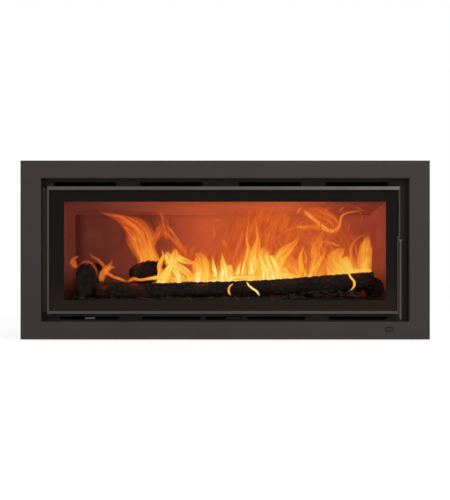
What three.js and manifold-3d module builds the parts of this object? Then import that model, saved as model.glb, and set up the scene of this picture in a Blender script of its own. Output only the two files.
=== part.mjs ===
// A wide landscape wood-burning fireplace insert, in millimetres, +Z up.
// X runs to the right as seen from the room, Y runs back into the wall and Z is height above the floor of the recess.
// The pieces are laid out from the front face of the surround, y = 0, and the whole group is then moved so that its
// origin is the middle of its own footprint.
import * as THREE from 'three';
import { mergeVertices } from 'three/addons/utils/BufferGeometryUtils.js';
import Module from 'manifold-3d';

// ---------------------------------------------------------------- sizes

const seat = 0.3; // gap left between pieces that rest on each other
const mergeDistance = 1e-4;

// Surround: one folded sheet with an outer and an inner return
const surroundWidth = 1050;
const surroundHeight = 459;
const surroundSideBand = 53;
const surroundTopBand = 45.5;
const surroundSheet = 3;
const surroundEdgeDepth = 12;
const surroundReturnDepth = 28;
const surroundBend = 2.2;
const surroundLift = 2; // lower edge of the surround above the floor

const badgeWidth = 20.5;
const badgeHeight = 11;
const badgeThickness = 1;
const badgeFromRight = 104.5; // badge centre from the right edge of the surround
const badgeFromBottom = 26.7;

// Recessed front: slotted strips above and below the door, plain cheeks beside it
const stripSheet = 2;
const stripOverlap = 10; // how far the recessed front runs on behind the surround's return
const upperSlotDrop = 13.2; // middle of the upper slots below the top of the surround's opening
const lowerSlotRise = 7.6; // middle of the lower slots above the bottom of the opening
const upperSlotHeight = 10.4;
const lowerSlotHeight = 8;
const upperSlotShare = 0.1735; // slot lengths and places as shares of the opening's width
const lowerSlotShare = 0.161;
const upperSlotCentre = -11; // middle of the row of upper slots
const lowerSlotCentre = -3.2;
const upperSlotPlaces = [0.135, 0.3733]; // slot centres either side of the row's middle
const lowerSlotPlaces = [0.1439, 0.3689];
const controlWindowWidth = 92.8;
const controlWindowCorner = 1.5;
const mouthLand = 1.5; // the recessed front's opening stands clear of the rope seal by this

// Door
const doorGapLeft = 14.7; // from the surround's opening to the door
const doorGapRight = 22.3;
const doorGapTop = 20.9;
const doorGapBottom = 20.2;
const doorNotch = 3.7; // the door's right edge steps in by this beside the handle
const doorNotchAbovePivot = 7.5;
const doorFront = 4; // behind the face of the surround
const doorDepth = 20;
const doorWall = 2.5;
const doorLipTop = 9;
const doorLipBottom = 7;
const doorLipLeft = 4.8;
const doorLipRight = 3.8;
const doorSlope = 2.2; // the lip falls back by this to the door's outer edge
const doorLipBevel = 0.8;
const glassThickness = 4;
const glassRecess = 6; // glass face behind the door's front face
const gasketWidth = 12;
const gasketThickness = 1.5;
const innerFrameWidth = 22;
const innerFrameDepth = 7;
const innerFrameChamfer = 3;
const ropeDiameter = 10;
const ropeGrooveDepth = 3;
const ropeInset = 6.5; // rope centre line inside the inner frame's edge

// Hinges: pins in brackets above and below the door, turning in bushes in its top and bottom walls
const hingeAxisInset = 7.5; // hinge axis from the door's left edge
const hingeAxisDepth = 17;
const hingeNames = ['lower', 'upper'];
const hingeBushRadius = 4.5;
const hingeBushFlangeRadius = 5.5;
const hingeBushFlangeHeight = 1;
const hingeBushLength = 2.6;
const hingeBracketThickness = 3;
const hingeBracketWidth = 15;
const hingeBracketLeg = 11;
const hingeBracketFront = 10;
const hingePinRadius = 2.5;
const hingePinHeadRadius = 4;
const hingePinHeadHeight = 2;
const boreClearance = 0.3;

// Handle: a slim lever hanging beside the door, pivoted at its top, with a hook behind it
const handlePivotShare = 0.1255; // height of the pivot above the middle, as a share of the opening's half height
const handlePivotDepth = 9;
const handleGap = 1.4; // between the door's notched edge and the blade
const handleThickness = 4.4;
const handleFootGap = 4.1; // tip above the bottom of the surround's opening
const handleFront = 3;
const handleRootBack = 15.5;
const handleTipBack = 12;
const handleHubRadius = 5.5;
const handleHubThickness = 6;
const fingerScallopRadius = 42;
const fingerScallopDepth = 3;
const fingerScallopAboveTip = 34;
const pivotPinRadius = 2.5;
const pivotPinHeadRadius = 3.6;
const pivotPinHeadHeight = 1.4;
const pinSteps = 16;
const keeperPinRadius = 2.5;
const keeperPinDepth = 19.3;
const keeperPinClear = 0.8; // end of the keeper's pin to the door's notched edge
const keeperGap = 1.7; // blade to the keeper's cheek
const keeperCheekThickness = 3;
const keeperCheekHalfHeight = 6.5;
const keeperCheekChamfer = 2;
const hookClearance = 0.6;
const hookThickness = 4;
const hookArmDrop = 3.6; // top of the hook's arm below the pivot
const hookArmHeight = 5;
const hookTipRise = 5;
const hookHeel = 2; // chamfer at the hook's lower back corner
const hookNose = 1.2; // chamfers at the hook's tip

// Convection casing of folded sheet
const casingSheet = 1.5;
const casingFlange = 17;
const casingAbove = 16.5; // casing top above the surround's opening
const casingBelow = 15.5;
const casingDepth = 357; // behind the recessed front
const casingRearGap = 39.8; // back of the casing behind the back of the firebox
const casingStandOut = 8; // how far the casing is wider than the recessed front on each side
const swageDepth = 5;
const swageWidth = 40;
const swageShares = [-0.49, 0.49]; // swage levels as shares of the opening's half height
const baseLip = 4; // folded front lip of the casing's base
const bracketWidth = 24;
const bracketReach = 34;
const bracketHeight = 40;
const bracketSheet = 2;
const bracketShares = [-0.7, 0.7];

// Firebox of welded plate, lined with boards
const chamberInset = 44; // side liners inside the surround's opening
const chamberFront = 38;
const hearthAbove = 44; // hearth above the bottom of the surround's opening
const boardThickness = 25;
const boardBevel = 1.6;
const boardClearance = 0.5;
const middleBoardShare = 0.3563;
const baffleRearDrop = 79.6; // baffle's underside, at the back boards, below the top of the opening
const baffleFrontDrop = 55;
const baffleFront = 85;
const baffleThickness = 25;
const fireboxPlate = 5;
const fireboxTopDrop = 3.5;
const mouthSideInset = 48; // firebox mouth inside the surround's opening
const mouthEndInset = 47;
const fireboxBrowDrop = 22; // top of the firebox's front wall
const roofSlopeRun = 25;
const deflectorSheet = 3;
const deflectorEndInset = 54;
const deflectorTopDrop = 30;
const deflectorBendDrop = 38;
const deflectorLipDrop = 50;
const deflectorLipDepth = 14;

const flueDiameter = 150;
const flueWall = 3;
const flueFlangeDiameter = 190;
const flueFlangeThickness = 4;
const flueFromBack = 112; // flue axis in front of the face of the back boards
const flueStand = 37; // flue collar's rim above the casing
const flueBead = 3;
const flueBeadDrop = 12;
const flueSteps = 32;
const flueCasingClearance = 6;

// Air box under the firebox, with two slides in its front groove
const airBoxFront = 54;
const airBoxDepth = 76;
const airBoxWall = 2;
const airBoxEndInset = 17;
const airGrooveDepth = 3;
const airLipHeight = 4;
const airPortWidth = 34;
const airPortHeight = 7;
const airPortPitch = 44;
const slideThickness = 2.2;
const slideLength = 132;
const leverThickness = 4;
const leverFront = 24; // lever tips stand in front of the recessed front
const leftTipShift = 2.2; // lever tip right of the middle of its slot
const leftTipWidth = 26;
const leftTipHeight = 5.2;
const leftTipDepth = 8;
const leverBarWidth = 18;
const centreTipCentre = 21;
const centreTipWidth = 39;
const centreTipHeight = 6;
const centreTipDepth = 7;
const tipBevel = 0.8;
const tipSocket = 1; // how deep the bar enters the tip

const bearerShare = 0.593; // spacing of the bearers as a share of the opening's width
const bearerSheet = 2;
const bearerWidth = 40;
const bearerFlange = 15;
const bearerBehindBox = 20; // front of the bearers behind the air box
const bearerFromBack = 17.5; // end of the bearers in front of the back of the firebox

const footInset = 60; // feet inside the casing's sides
const footFront = 42;
const footRearInset = 47.3; // rear feet in front of the back of the casing
const footPadRadius = 20;
const footPadHeight = 8;
const footPadRim = 4;
const footStudRadius = 5;
const footStudAbove = 12;
const footNutAcross = 17;
const footNutHeight = 6;
const footNutSides = 6;
const footConeWidth = 4;

// Fuel: charred logs on a bed of embers
const emberSideGap = 9;
const emberFront = 46;
const emberRearGap = 17;
const emberEdge = 3;
const emberRise = 13;
const emberColumns = 34;
const emberRows = 8;

// Each log's ends: in from its liner, depth as a share of the chamber's, and height above the hearth
const logFrontLeft = [84, 0.366, 28];
const logFrontRight = [31, 0.328, 58];
const logFrontRadius = 25.5;
const logFrontSag = -9;
const logLeftFront = [58, 0.2334, 57];
const logLeftRear = [65, 0.8265, 57];
const logLeftRadius = 26.5;
const logBackFront = [172, 0.5237, 75.5];
const logBackRear = [300, 0.7508, 82.5];
const logBackRadius = 26.5;
const logRearLeft = [178, 0.6246, 31];
const logRearRight = [218, 0.5868, 33];
const logRearRadius = 23;
const logRightFront = [19, 0.2587, 38];
const logRightRear = [24, 0.6467, 36];
const logRightRadius = 17;

const arcSteps = 5;
const roundSteps = 20;

// ---------------------------------------------------------------- places worked out from the sizes

const midHeight = surroundLift + surroundHeight / 2;

const openingHalfWidth = surroundWidth / 2 - surroundSideBand;
const openingHalfHeight = surroundHeight / 2 - surroundTopBand;
const openingWidth = 2 * openingHalfWidth;
const above = (drop) => midHeight + openingHalfHeight - drop; // measured down from the top of the opening
const below = (rise) => midHeight - openingHalfHeight + rise; // measured up from the bottom of the opening
const stripFront = surroundReturnDepth;
const stripBack = stripFront + stripSheet;
const stripHalfWidth = openingHalfWidth + stripOverlap;
const stripHalfHeight = openingHalfHeight + stripOverlap;

const upperSlotLength = openingWidth * upperSlotShare;
const lowerSlotLength = openingWidth * lowerSlotShare;

const doorLeft = doorGapLeft - openingHalfWidth;
const doorRight = openingHalfWidth - doorGapRight;
const doorTop = above(doorGapTop);
const doorBottom = below(doorGapBottom);
const doorNotchEdge = doorRight - doorNotch;
const handlePivotHeight = midHeight + openingHalfHeight * handlePivotShare;
const doorNotchTop = handlePivotHeight + doorNotchAbovePivot;
const glassFront = doorFront + glassRecess;
const gasketFront = glassFront + glassThickness + seat;
const innerFrameFront = gasketFront + gasketThickness + seat;
const innerFrameBack = innerFrameFront + innerFrameDepth;
const innerFrameLeft = doorLeft + doorWall + seat;
const innerFrameRight = doorNotchEdge - doorWall - seat;
const innerFrameTop = doorTop - doorWall - seat;
const innerFrameBottom = doorBottom + doorWall + seat;
const ropeDepth = innerFrameBack - ropeGrooveDepth + seat + ropeDiameter / 2;
const ropeOuterInset = ropeInset - ropeDiameter / 2;
const mouthLeft = innerFrameLeft + ropeOuterInset - mouthLand;
const mouthRight = innerFrameRight - ropeOuterInset + mouthLand;
const mouthTop = innerFrameTop - ropeOuterInset + mouthLand;
const mouthBottom = innerFrameBottom + ropeOuterInset - mouthLand;

const hingeAxisX = doorLeft + hingeAxisInset;

const bladeLeft = doorNotchEdge + handleGap;
const bladeMiddle = bladeLeft + handleThickness / 2;

const frontPlateFront = stripBack + seat;
const frontPlateBack = frontPlateFront + fireboxPlate;
const linerInner = openingHalfWidth - chamberInset;
const linerOuter = linerInner + boardThickness;
const fireboxInner = linerOuter + boardClearance;
const fireboxHalfWidth = fireboxInner + fireboxPlate;
const hearthTop = below(hearthAbove);
const fireboxFloor = hearthTop - boardThickness - seat;
const fireboxBottom = fireboxFloor - fireboxPlate;
const fireboxTop = above(fireboxTopDrop);
const casingFront = stripBack + seat;
const casingBack = casingFront + casingDepth;
const fireboxBack = casingBack - casingRearGap;
const backBoardBack = fireboxBack - fireboxPlate - boardClearance;
const chamberBack = backBoardBack - boardThickness; // face of the back boards
const flueDepth = chamberBack - flueFromBack;
const baffleSlope = (baffleRearDrop - baffleFrontDrop) / (chamberBack - baffleFront);
const baffleUnder = (depth) => above(baffleRearDrop) + (chamberBack - depth) * baffleSlope;

const casingTop = above(-casingAbove);
const casingBase = below(-casingBelow);
const casingHalfWidth = stripHalfWidth + casingStandOut;
const casingBackFace = casingBack - swageDepth;
const casingWallEnd = casingBackFace - casingSheet - seat;
const casingFloor = casingBase + casingSheet;
const bearerFront = airBoxFront + airBoxDepth + bearerBehindBox;
const bearerBack = fireboxBack - bearerFromBack;
const footBack = casingBack - footRearInset;
const emberBack = chamberBack - emberRearGap;
const airBoxTop = fireboxBottom - seat;
const airBoxBottom = casingFloor + seat;
const airSlotLevel = below(lowerSlotRise);
const airBoxHalfLength = openingHalfWidth - airBoxEndInset;
const leftTipCentre = lowerSlotCentre - openingWidth * lowerSlotPlaces[1] + leftTipShift;

// ---------------------------------------------------------------- shaping tools

const manifold = await Module();
manifold.setup();

function toSolid(geometry) {
  const bare = geometry.clone();
  for (const name of Object.keys(bare.attributes)) {
    if (name !== 'position') bare.deleteAttribute(name);
  }
  const merged = mergeVertices(bare, mergeDistance);
  return new manifold.Manifold(new manifold.Mesh({
    numProp: 3,
    vertProperties: new Float32Array(merged.attributes.position.array),
    triVerts: new Uint32Array(merged.index.array),
  }));
}

function toGeometry(solid) {
  const mesh = solid.getMesh();
  const geometry = new THREE.BufferGeometry();
  geometry.setAttribute('position', new THREE.BufferAttribute(new Float32Array(mesh.vertProperties), 3));
  geometry.setIndex(new THREE.BufferAttribute(new Uint32Array(mesh.triVerts), 1));
  geometry.computeVertexNormals();
  return geometry;
}

function join(...geometries) {
  return toGeometry(geometries.map(toSolid).reduce((whole, next) => whole.add(next)));
}

function cut(geometry, ...tools) {
  return toGeometry(tools.map(toSolid).reduce((whole, tool) => whole.subtract(tool), toSolid(geometry)));
}

// A block between two corners
function block(x0, x1, y0, y1, z0, z1) {
  const geometry = new THREE.BoxGeometry(x1 - x0, y1 - y0, z1 - z0);
  return geometry.translate((x0 + x1) / 2, (y0 + y1) / 2, (z0 + z1) / 2);
}

function polygon(points) {
  return new THREE.Shape(points.map(([a, b]) => new THREE.Vector2(a, b)));
}

function rectangle(a0, a1, b0, b1) {
  return [[a0, b0], [a1, b0], [a1, b1], [a0, b1]];
}

// A slot with round ends, centred on (a, b)
function roundSlot(target, a, b, length, height) {
  const radius = height / 2;
  const reach = length / 2 - radius;
  target.moveTo(a - reach, b - radius);
  target.lineTo(a + reach, b - radius);
  target.absarc(a + reach, b, radius, -Math.PI / 2, Math.PI / 2, false);
  target.lineTo(a - reach, b + radius);
  target.absarc(a - reach, b, radius, Math.PI / 2, Math.PI * 1.5, false);
  return target;
}

function roundedRectangle(target, a, b, width, height, radius) {
  const halfWidth = width / 2;
  const halfHeight = height / 2;
  target.moveTo(a - halfWidth + radius, b - halfHeight);
  target.lineTo(a + halfWidth - radius, b - halfHeight);
  target.absarc(a + halfWidth - radius, b - halfHeight + radius, radius, -Math.PI / 2, 0, false);
  target.lineTo(a + halfWidth, b + halfHeight - radius);
  target.absarc(a + halfWidth - radius, b + halfHeight - radius, radius, 0, Math.PI / 2, false);
  target.lineTo(a - halfWidth + radius, b + halfHeight);
  target.absarc(a - halfWidth + radius, b + halfHeight - radius, radius, Math.PI / 2, Math.PI, false);
  target.lineTo(a - halfWidth, b - halfHeight + radius);
  target.absarc(a - halfWidth + radius, b - halfHeight + radius, radius, Math.PI, Math.PI * 1.5, false);
  return target;
}

function extrude(shape, depth, bevel = 0) {
  return new THREE.ExtrudeGeometry(shape, {
    depth: depth - 2 * bevel,
    curveSegments: arcSteps,
    bevelEnabled: bevel > 0,
    bevelThickness: bevel,
    bevelSize: bevel,
    bevelOffset: -bevel,
    bevelSegments: 1,
  }).translate(0, 0, bevel);
}

// A shape drawn in X and Z, seen from the room, from a front face backwards
function facing(shape, front, thickness, bevel = 0) {
  return extrude(shape, thickness, bevel).rotateX(Math.PI / 2).translate(0, front + thickness, 0);
}

// A shape drawn in Y and Z, seen from the right, running along X
const alongX = new THREE.Matrix4().makeBasis(
  new THREE.Vector3(0, 1, 0),
  new THREE.Vector3(0, 0, 1),
  new THREE.Vector3(1, 0, 0),
);

function sideways(shape, x0, x1, bevel = 0) {
  return extrude(shape, x1 - x0, bevel).applyMatrix4(alongX).translate(x0, 0, 0);
}

// A shape drawn in X and Y, seen from above, standing from z0 to z1
function upright(shape, z0, z1) {
  return extrude(shape, z1 - z0).translate(0, 0, z0);
}

function mitre(before, corner, after) {
  const first = new THREE.Vector2(corner[0] - before[0], corner[1] - before[1]).normalize();
  const second = new THREE.Vector2(after[0] - corner[0], after[1] - corner[1]).normalize();
  const normals = [new THREE.Vector2(-first.y, first.x), new THREE.Vector2(-second.y, second.x)];
  return normals[0].clone().add(normals[1]).divideScalar(1 + normals[0].dot(normals[1]));
}

// A closed outline moved inwards, its corners in anticlockwise order
function inset(outline, distance) {
  const count = outline.length;
  return outline.map((corner, index) => {
    const lean = mitre(outline[(index + count - 1) % count], corner, outline[(index + 1) % count]);
    return [corner[0] + lean.x * distance, corner[1] + lean.y * distance];
  });
}

// Folded sheet: a polygon that follows a path and has the sheet's thickness on the path's left
function foldedSheet(path, thickness) {
  const last = path.length - 1;
  const inner = path.map((corner, index) => {
    const before = index === 0 ? [2 * corner[0] - path[1][0], 2 * corner[1] - path[1][1]] : path[index - 1];
    const after = index === last
      ? [2 * corner[0] - path[last - 1][0], 2 * corner[1] - path[last - 1][1]]
      : path[index + 1];
    const lean = mitre(before, corner, after);
    return [corner[0] + lean.x * thickness, corner[1] + lean.y * thickness];
  });
  return polygon([...path, ...inner.reverse()]);
}

// A section carried round one or two outlines with mitred corners. Each section point is
// [outline, how far inside it, depth], and the section closes on itself.
function ringOf(outlines, section) {
  const corners = outlines[0].length;
  const sides = section.length;
  const rings = section.map(([outline, distance, depth]) => (
    inset(outlines[outline], distance).map(([x, z]) => [x, depth, z])
  ));
  const positions = [];
  for (let corner = 0; corner < corners; corner += 1) {
    for (let side = 0; side < sides; side += 1) {
      positions.push(...rings[side][corner]);
    }
  }
  const faces = [];
  for (let corner = 0; corner < corners; corner += 1) {
    for (let side = 0; side < sides; side += 1) {
      const nextCorner = ((corner + 1) % corners) * sides;
      const nextSide = (side + 1) % sides;
      const here = corner * sides + side;
      const along = nextCorner + side;
      const across = corner * sides + nextSide;
      const opposite = nextCorner + nextSide;
      faces.push(here, along, opposite, here, opposite, across);
    }
  }
  const geometry = new THREE.BufferGeometry();
  geometry.setAttribute('position', new THREE.Float32BufferAttribute(positions, 3));
  geometry.setIndex(faces);
  geometry.computeVertexNormals();
  return geometry;
}

function arcPoints(centreA, centreB, radius, from, to, steps) {
  return Array.from({ length: steps + 1 }, (_, index) => {
    const angle = from + ((to - from) * index) / steps;
    return [centreA + radius * Math.cos(angle), centreB + radius * Math.sin(angle)];
  });
}

// A turned piece about a vertical axis; the profile is [radius, height], from the bottom up
function turned(profile, x, y, steps = roundSteps) {
  const points = profile.map(([radius, height]) => new THREE.Vector2(radius, height));
  return new THREE.LatheGeometry(points, steps).rotateX(Math.PI / 2).translate(x, y, 0);
}

function rodAlongX(x0, x1, y, z, radius, steps = roundSteps) {
  const geometry = new THREE.CylinderGeometry(radius, radius, x1 - x0, steps);
  return geometry.rotateZ(Math.PI / 2).translate((x0 + x1) / 2, y, z);
}

function rodAlongZ(x, y, z0, z1, radius, steps = roundSteps) {
  const geometry = new THREE.CylinderGeometry(radius, radius, z1 - z0, steps);
  return geometry.rotateX(Math.PI / 2).translate(x, y, (z0 + z1) / 2);
}

// ---------------------------------------------------------------- finishes

const finish = (color, roughness, metalness) => ({ color, roughness, metalness });
const finishes = {
  paintedSteel: finish(0x423c3a, 0.55, 0.3),
  recessSteel: finish(0x2b2724, 0.6, 0.3),
  doorSteel: finish(0x544e49, 0.5, 0.4),
  galvanised: finish(0x8f9294, 0.45, 0.8),
  plate: finish(0x33302e, 0.7, 0.5),
  pin: finish(0x9b9690, 0.35, 0.9),
  brushed: finish(0xb9b6b0, 0.35, 1),
  glass: finish(0x1b1917, 0.05, 0),
  gasket: finish(0x6b6660, 0.95, 0),
  rope: finish(0x3a3633, 0.95, 0),
  board: finish(0xb5612f, 0.9, 0),
  log: finish(0x2a1d16, 0.95, 0),
  ember: finish(0x5a2416, 0.95, 0),
  badge: finish(0x2d2925, 0.4, 0.2),
};

const insert = new THREE.Group();

function add(name, geometry, look) {
  const mesh = new THREE.Mesh(geometry, new THREE.MeshStandardMaterial(finishes[look]));
  mesh.name = name;
  insert.add(mesh);
  return mesh;
}

const leftRight = [['left', -1], ['right', 1]];

// ---------------------------------------------------------------- surround

function makeSurround() {
  const bottom = surroundLift;
  const outer = rectangle(-surroundWidth / 2, surroundWidth / 2, bottom, bottom + surroundHeight);
  const inner = rectangle(
    -openingHalfWidth,
    openingHalfWidth,
    midHeight - openingHalfHeight,
    midHeight + openingHalfHeight,
  );
  const bendSteps = 3;
  const outerBend = arcPoints(surroundBend, surroundBend, surroundBend, Math.PI, Math.PI * 1.5, bendSteps);
  const innerBend = arcPoints(-surroundBend, surroundBend, surroundBend, -Math.PI / 2, 0, bendSteps);
  const returnEnd = surroundReturnDepth - seat;
  add('surround_frame', ringOf([outer, inner], [
    [0, 0, surroundEdgeDepth],
    ...outerBend.map(([distance, depth]) => [0, distance, depth]),
    ...innerBend.map(([distance, depth]) => [1, distance, depth]),
    [1, 0, returnEnd],
    [1, -surroundSheet, returnEnd],
    [1, -surroundSheet, surroundSheet],
    [0, surroundSheet, surroundSheet],
    [0, surroundSheet, surroundEdgeDepth],
  ]), 'paintedSteel');
}

function makeBadge() {
  const shape = roundedRectangle(
    new THREE.Shape(),
    surroundWidth / 2 - badgeFromRight,
    surroundLift + badgeFromBottom,
    badgeWidth,
    badgeHeight,
    badgeHeight / 4,
  );
  add('badge_plate', facing(shape, -badgeThickness - seat, badgeThickness), 'badge');
}

// ---------------------------------------------------------------- recessed front

function makeSlottedStrips() {
  const upper = polygon(rectangle(-stripHalfWidth, stripHalfWidth, mouthTop, midHeight + stripHalfHeight));
  for (const share of upperSlotPlaces) {
    for (const side of [-1, 1]) {
      const x = upperSlotCentre + side * share * openingWidth;
      upper.holes.push(roundSlot(new THREE.Path(), x, above(upperSlotDrop), upperSlotLength, upperSlotHeight));
    }
  }
  add('upper_slot_strip', facing(upper, stripFront, stripSheet), 'recessSteel');

  const lower = polygon(rectangle(-stripHalfWidth, stripHalfWidth, midHeight - stripHalfHeight, mouthBottom));
  for (const share of lowerSlotPlaces) {
    for (const side of [-1, 1]) {
      const x = lowerSlotCentre + side * share * openingWidth;
      lower.holes.push(roundSlot(new THREE.Path(), x, airSlotLevel, lowerSlotLength, lowerSlotHeight));
    }
  }
  lower.holes.push(roundedRectangle(
    new THREE.Path(),
    lowerSlotCentre,
    airSlotLevel,
    controlWindowWidth,
    lowerSlotHeight,
    controlWindowCorner,
  ));
  add('lower_slot_strip', facing(lower, stripFront, stripSheet), 'recessSteel');
}

function makeCheeks() {
  const bottom = mouthBottom + seat;
  const top = mouthTop - seat;
  const left = polygon(rectangle(-stripHalfWidth, mouthLeft, bottom, top));
  const right = polygon(rectangle(mouthRight, stripHalfWidth, bottom, top));
  add('left_cheek', facing(left, stripFront, stripSheet), 'recessSteel');
  add('right_cheek', facing(right, stripFront, stripSheet), 'recessSteel');
}

// ---------------------------------------------------------------- door

const doorOutline = [
  [doorLeft, doorBottom],
  [doorNotchEdge, doorBottom],
  [doorNotchEdge, doorNotchTop],
  [doorRight, doorNotchTop],
  [doorRight, doorTop],
  [doorLeft, doorTop],
];
const doorOpening = [
  [doorLeft + doorLipLeft, doorBottom + doorLipBottom],
  [doorNotchEdge - doorLipRight, doorBottom + doorLipBottom],
  [doorNotchEdge - doorLipRight, doorNotchTop + doorLipRight],
  [doorRight - doorLipRight, doorNotchTop + doorLipRight],
  [doorRight - doorLipRight, doorTop - doorLipTop],
  [doorLeft + doorLipLeft, doorTop - doorLipTop],
];
const innerFrameOutline = rectangle(innerFrameLeft, innerFrameRight, innerFrameBottom, innerFrameTop);

function makeDoorFrame() {
  const lipBack = glassFront - seat;
  const back = doorFront + doorDepth;
  const frame = ringOf([doorOutline, doorOpening], [
    [0, 0, back],
    [0, 0, doorFront + doorSlope],
    [1, -doorLipBevel, doorFront],
    [1, 0, doorFront + doorLipBevel],
    [1, 0, lipBack],
    [0, doorWall, lipBack],
    [0, doorWall, back],
  ]);
  const bushBores = [[doorBottom, 1], [doorTop, -1]].map(([edge, inwards]) => rodAlongZ(
    hingeAxisX,
    hingeAxisDepth,
    Math.min(edge - inwards, edge + inwards * 2 * doorWall),
    Math.max(edge - inwards, edge + inwards * 2 * doorWall),
    hingeBushRadius + seat,
    pinSteps,
  ));
  const pivotBore = rodAlongX(
    doorNotchEdge - doorWall - seat,
    doorNotchEdge + 1,
    handlePivotDepth,
    handlePivotHeight,
    pivotPinRadius + boreClearance,
  );
  add('door_frame', cut(frame, pivotBore, ...bushBores), 'doorSteel');
}

function makeGlass() {
  const shape = polygon(inset(doorOutline, doorWall + seat));
  add('door_glass', facing(shape, glassFront, glassThickness), 'glass');
  const gasketInset = (innerFrameWidth - gasketWidth) / 2;
  add('glass_gasket', ringOf([innerFrameOutline], [
    [0, gasketInset, gasketFront + gasketThickness],
    [0, gasketInset, gasketFront],
    [0, gasketInset + gasketWidth, gasketFront],
    [0, gasketInset + gasketWidth, gasketFront + gasketThickness],
  ]), 'gasket');
}

function makeInnerFrame() {
  const groove = ropeDiameter / 2 + seat;
  const grooveFloor = innerFrameBack - ropeGrooveDepth;
  add('door_inner_frame', ringOf([innerFrameOutline], [
    [0, 0, innerFrameBack],
    [0, 0, innerFrameFront],
    [0, innerFrameWidth - innerFrameChamfer, innerFrameFront],
    [0, innerFrameWidth, innerFrameFront + innerFrameChamfer],
    [0, innerFrameWidth, innerFrameBack],
    [0, ropeInset + groove, innerFrameBack],
    [0, ropeInset + groove, grooveFloor],
    [0, ropeInset - groove, grooveFloor],
    [0, ropeInset - groove, innerFrameBack],
  ]), 'plate');
  const ropeSides = 10;
  const circle = arcPoints(ropeInset, ropeDepth, ropeDiameter / 2, 0, Math.PI * 2, ropeSides).slice(0, -1);
  add('door_rope_seal', ringOf([innerFrameOutline], circle.map(([distance, depth]) => [0, distance, depth])), 'rope');
}

// ---------------------------------------------------------------- hinges

function makeHinge(name, edge, outwards) {
  const x = hingeAxisX;
  const y = hingeAxisDepth;
  const flangeSide = edge + outwards * (seat + hingeBushFlangeHeight);
  const bushEnd = edge + outwards * seat - outwards * hingeBushLength;
  const ordered = (a, b) => [Math.min(a, b), Math.max(a, b)];
  const boreRadius = hingePinRadius + boreClearance;

  // Flanged bush pressed into the door's wall
  const bush = cut(
    join(
      rodAlongZ(x, y, ...ordered(bushEnd, flangeSide), hingeBushRadius, pinSteps),
      rodAlongZ(x, y, ...ordered(edge + outwards * seat, flangeSide), hingeBushFlangeRadius, pinSteps),
    ),
    rodAlongZ(x, y, ...ordered(bushEnd - outwards, flangeSide + outwards), boreRadius, pinSteps),
  );
  add(`hinge_bush_${name}`, bush, 'pin');

  // Angle bracket on the recessed front
  const nearFace = flangeSide + outwards * seat;
  const farFace = nearFace + outwards * hingeBracketThickness;
  const bracketBack = stripFront - seat;
  const [low, high] = ordered(nearFace, farFace);
  const [legLow, legHigh] = ordered(nearFace, nearFace + outwards * hingeBracketLeg);
  const left = x - hingeBracketWidth / 2;
  const right = x + hingeBracketWidth / 2;
  const bracket = cut(
    join(
      block(left, right, hingeBracketFront, bracketBack, low, high),
      block(left, right, bracketBack - hingeBracketThickness, bracketBack, legLow, legHigh),
    ),
    rodAlongZ(x, y, low - 1, high + 1, boreRadius, pinSteps),
  );
  add(`hinge_bracket_${name}`, bracket, 'recessSteel');

  // Headed pin through both
  const headNear = farFace + outwards * seat;
  const headFar = headNear + outwards * hingePinHeadHeight;
  const pin = join(
    rodAlongZ(x, y, ...ordered(bushEnd + outwards / 2, headFar), hingePinRadius, pinSteps),
    rodAlongZ(x, y, ...ordered(headNear, headFar), hingePinHeadRadius, pinSteps),
  );
  add(`hinge_pin_${name}`, pin, 'pin');
}

// ---------------------------------------------------------------- handle and latch

function makeHandle() {
  const y = handlePivotDepth;
  const z = handlePivotHeight;
  const tip = below(handleFootGap);
  const tipRadius = (handleTipBack - handleFront) / 2;
  const scallopAngle = Math.acos(1 - fingerScallopDepth / fingerScallopRadius);
  const scallopCentreY = handleTipBack + fingerScallopRadius - fingerScallopDepth;
  const scallopMiddle = tip + fingerScallopAboveTip;

  // Blade seen from the right: straight front edge, tapering back edge with a scallop for the finger
  const blade = polygon([
    [handleRootBack, z],
    [handleFront, z],
    ...arcPoints(handleFront + tipRadius, tip + tipRadius, tipRadius, Math.PI, Math.PI * 2, 2 * arcSteps),
    ...arcPoints(
      scallopCentreY,
      scallopMiddle,
      fingerScallopRadius,
      Math.PI + scallopAngle,
      Math.PI - scallopAngle,
      2 * arcSteps,
    ),
  ]);

  // Hook: an arm behind the hub with a finger that rises behind the keeper's pin
  const fingerFront = keeperPinDepth + keeperPinRadius + hookClearance;
  const fingerBack = fingerFront + hookThickness;
  const armTop = z - hookArmDrop;
  const armBottom = armTop - hookArmHeight;
  const hook = polygon([
    [y, armTop],
    [y, armBottom],
    [fingerBack - hookHeel, armBottom],
    [fingerBack, armBottom + hookHeel],
    [fingerBack, z + hookTipRise - hookNose],
    [fingerBack - hookNose, z + hookTipRise],
    [fingerFront + hookNose, z + hookTipRise],
    [fingerFront, z + hookTipRise - hookNose],
    [fingerFront, armTop],
  ]);
  const bladeRight = bladeLeft + handleThickness;
  const hubHalf = handleHubThickness / 2;
  const lever = join(
    sideways(blade, bladeLeft, bladeRight),
    sideways(hook, bladeLeft, bladeRight),
    rodAlongX(bladeMiddle - hubHalf, bladeMiddle + hubHalf, y, z, handleHubRadius),
  );
  const bore = rodAlongX(
    bladeMiddle - handleHubThickness,
    bladeMiddle + handleHubThickness,
    y,
    z,
    pivotPinRadius + boreClearance,
  );
  add('handle_lever', cut(lever, bore), 'doorSteel');

  const pinStart = doorNotchEdge - doorWall - seat / 2;
  const headStart = bladeMiddle + hubHalf + seat;
  add('handle_pivot_pin', join(
    rodAlongX(pinStart, headStart + pivotPinHeadHeight / 2, y, z, pivotPinRadius, pinSteps),
    rodAlongX(headStart, headStart + pivotPinHeadHeight, y, z, pivotPinHeadRadius, pinSteps),
  ), 'pin');
}

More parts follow.
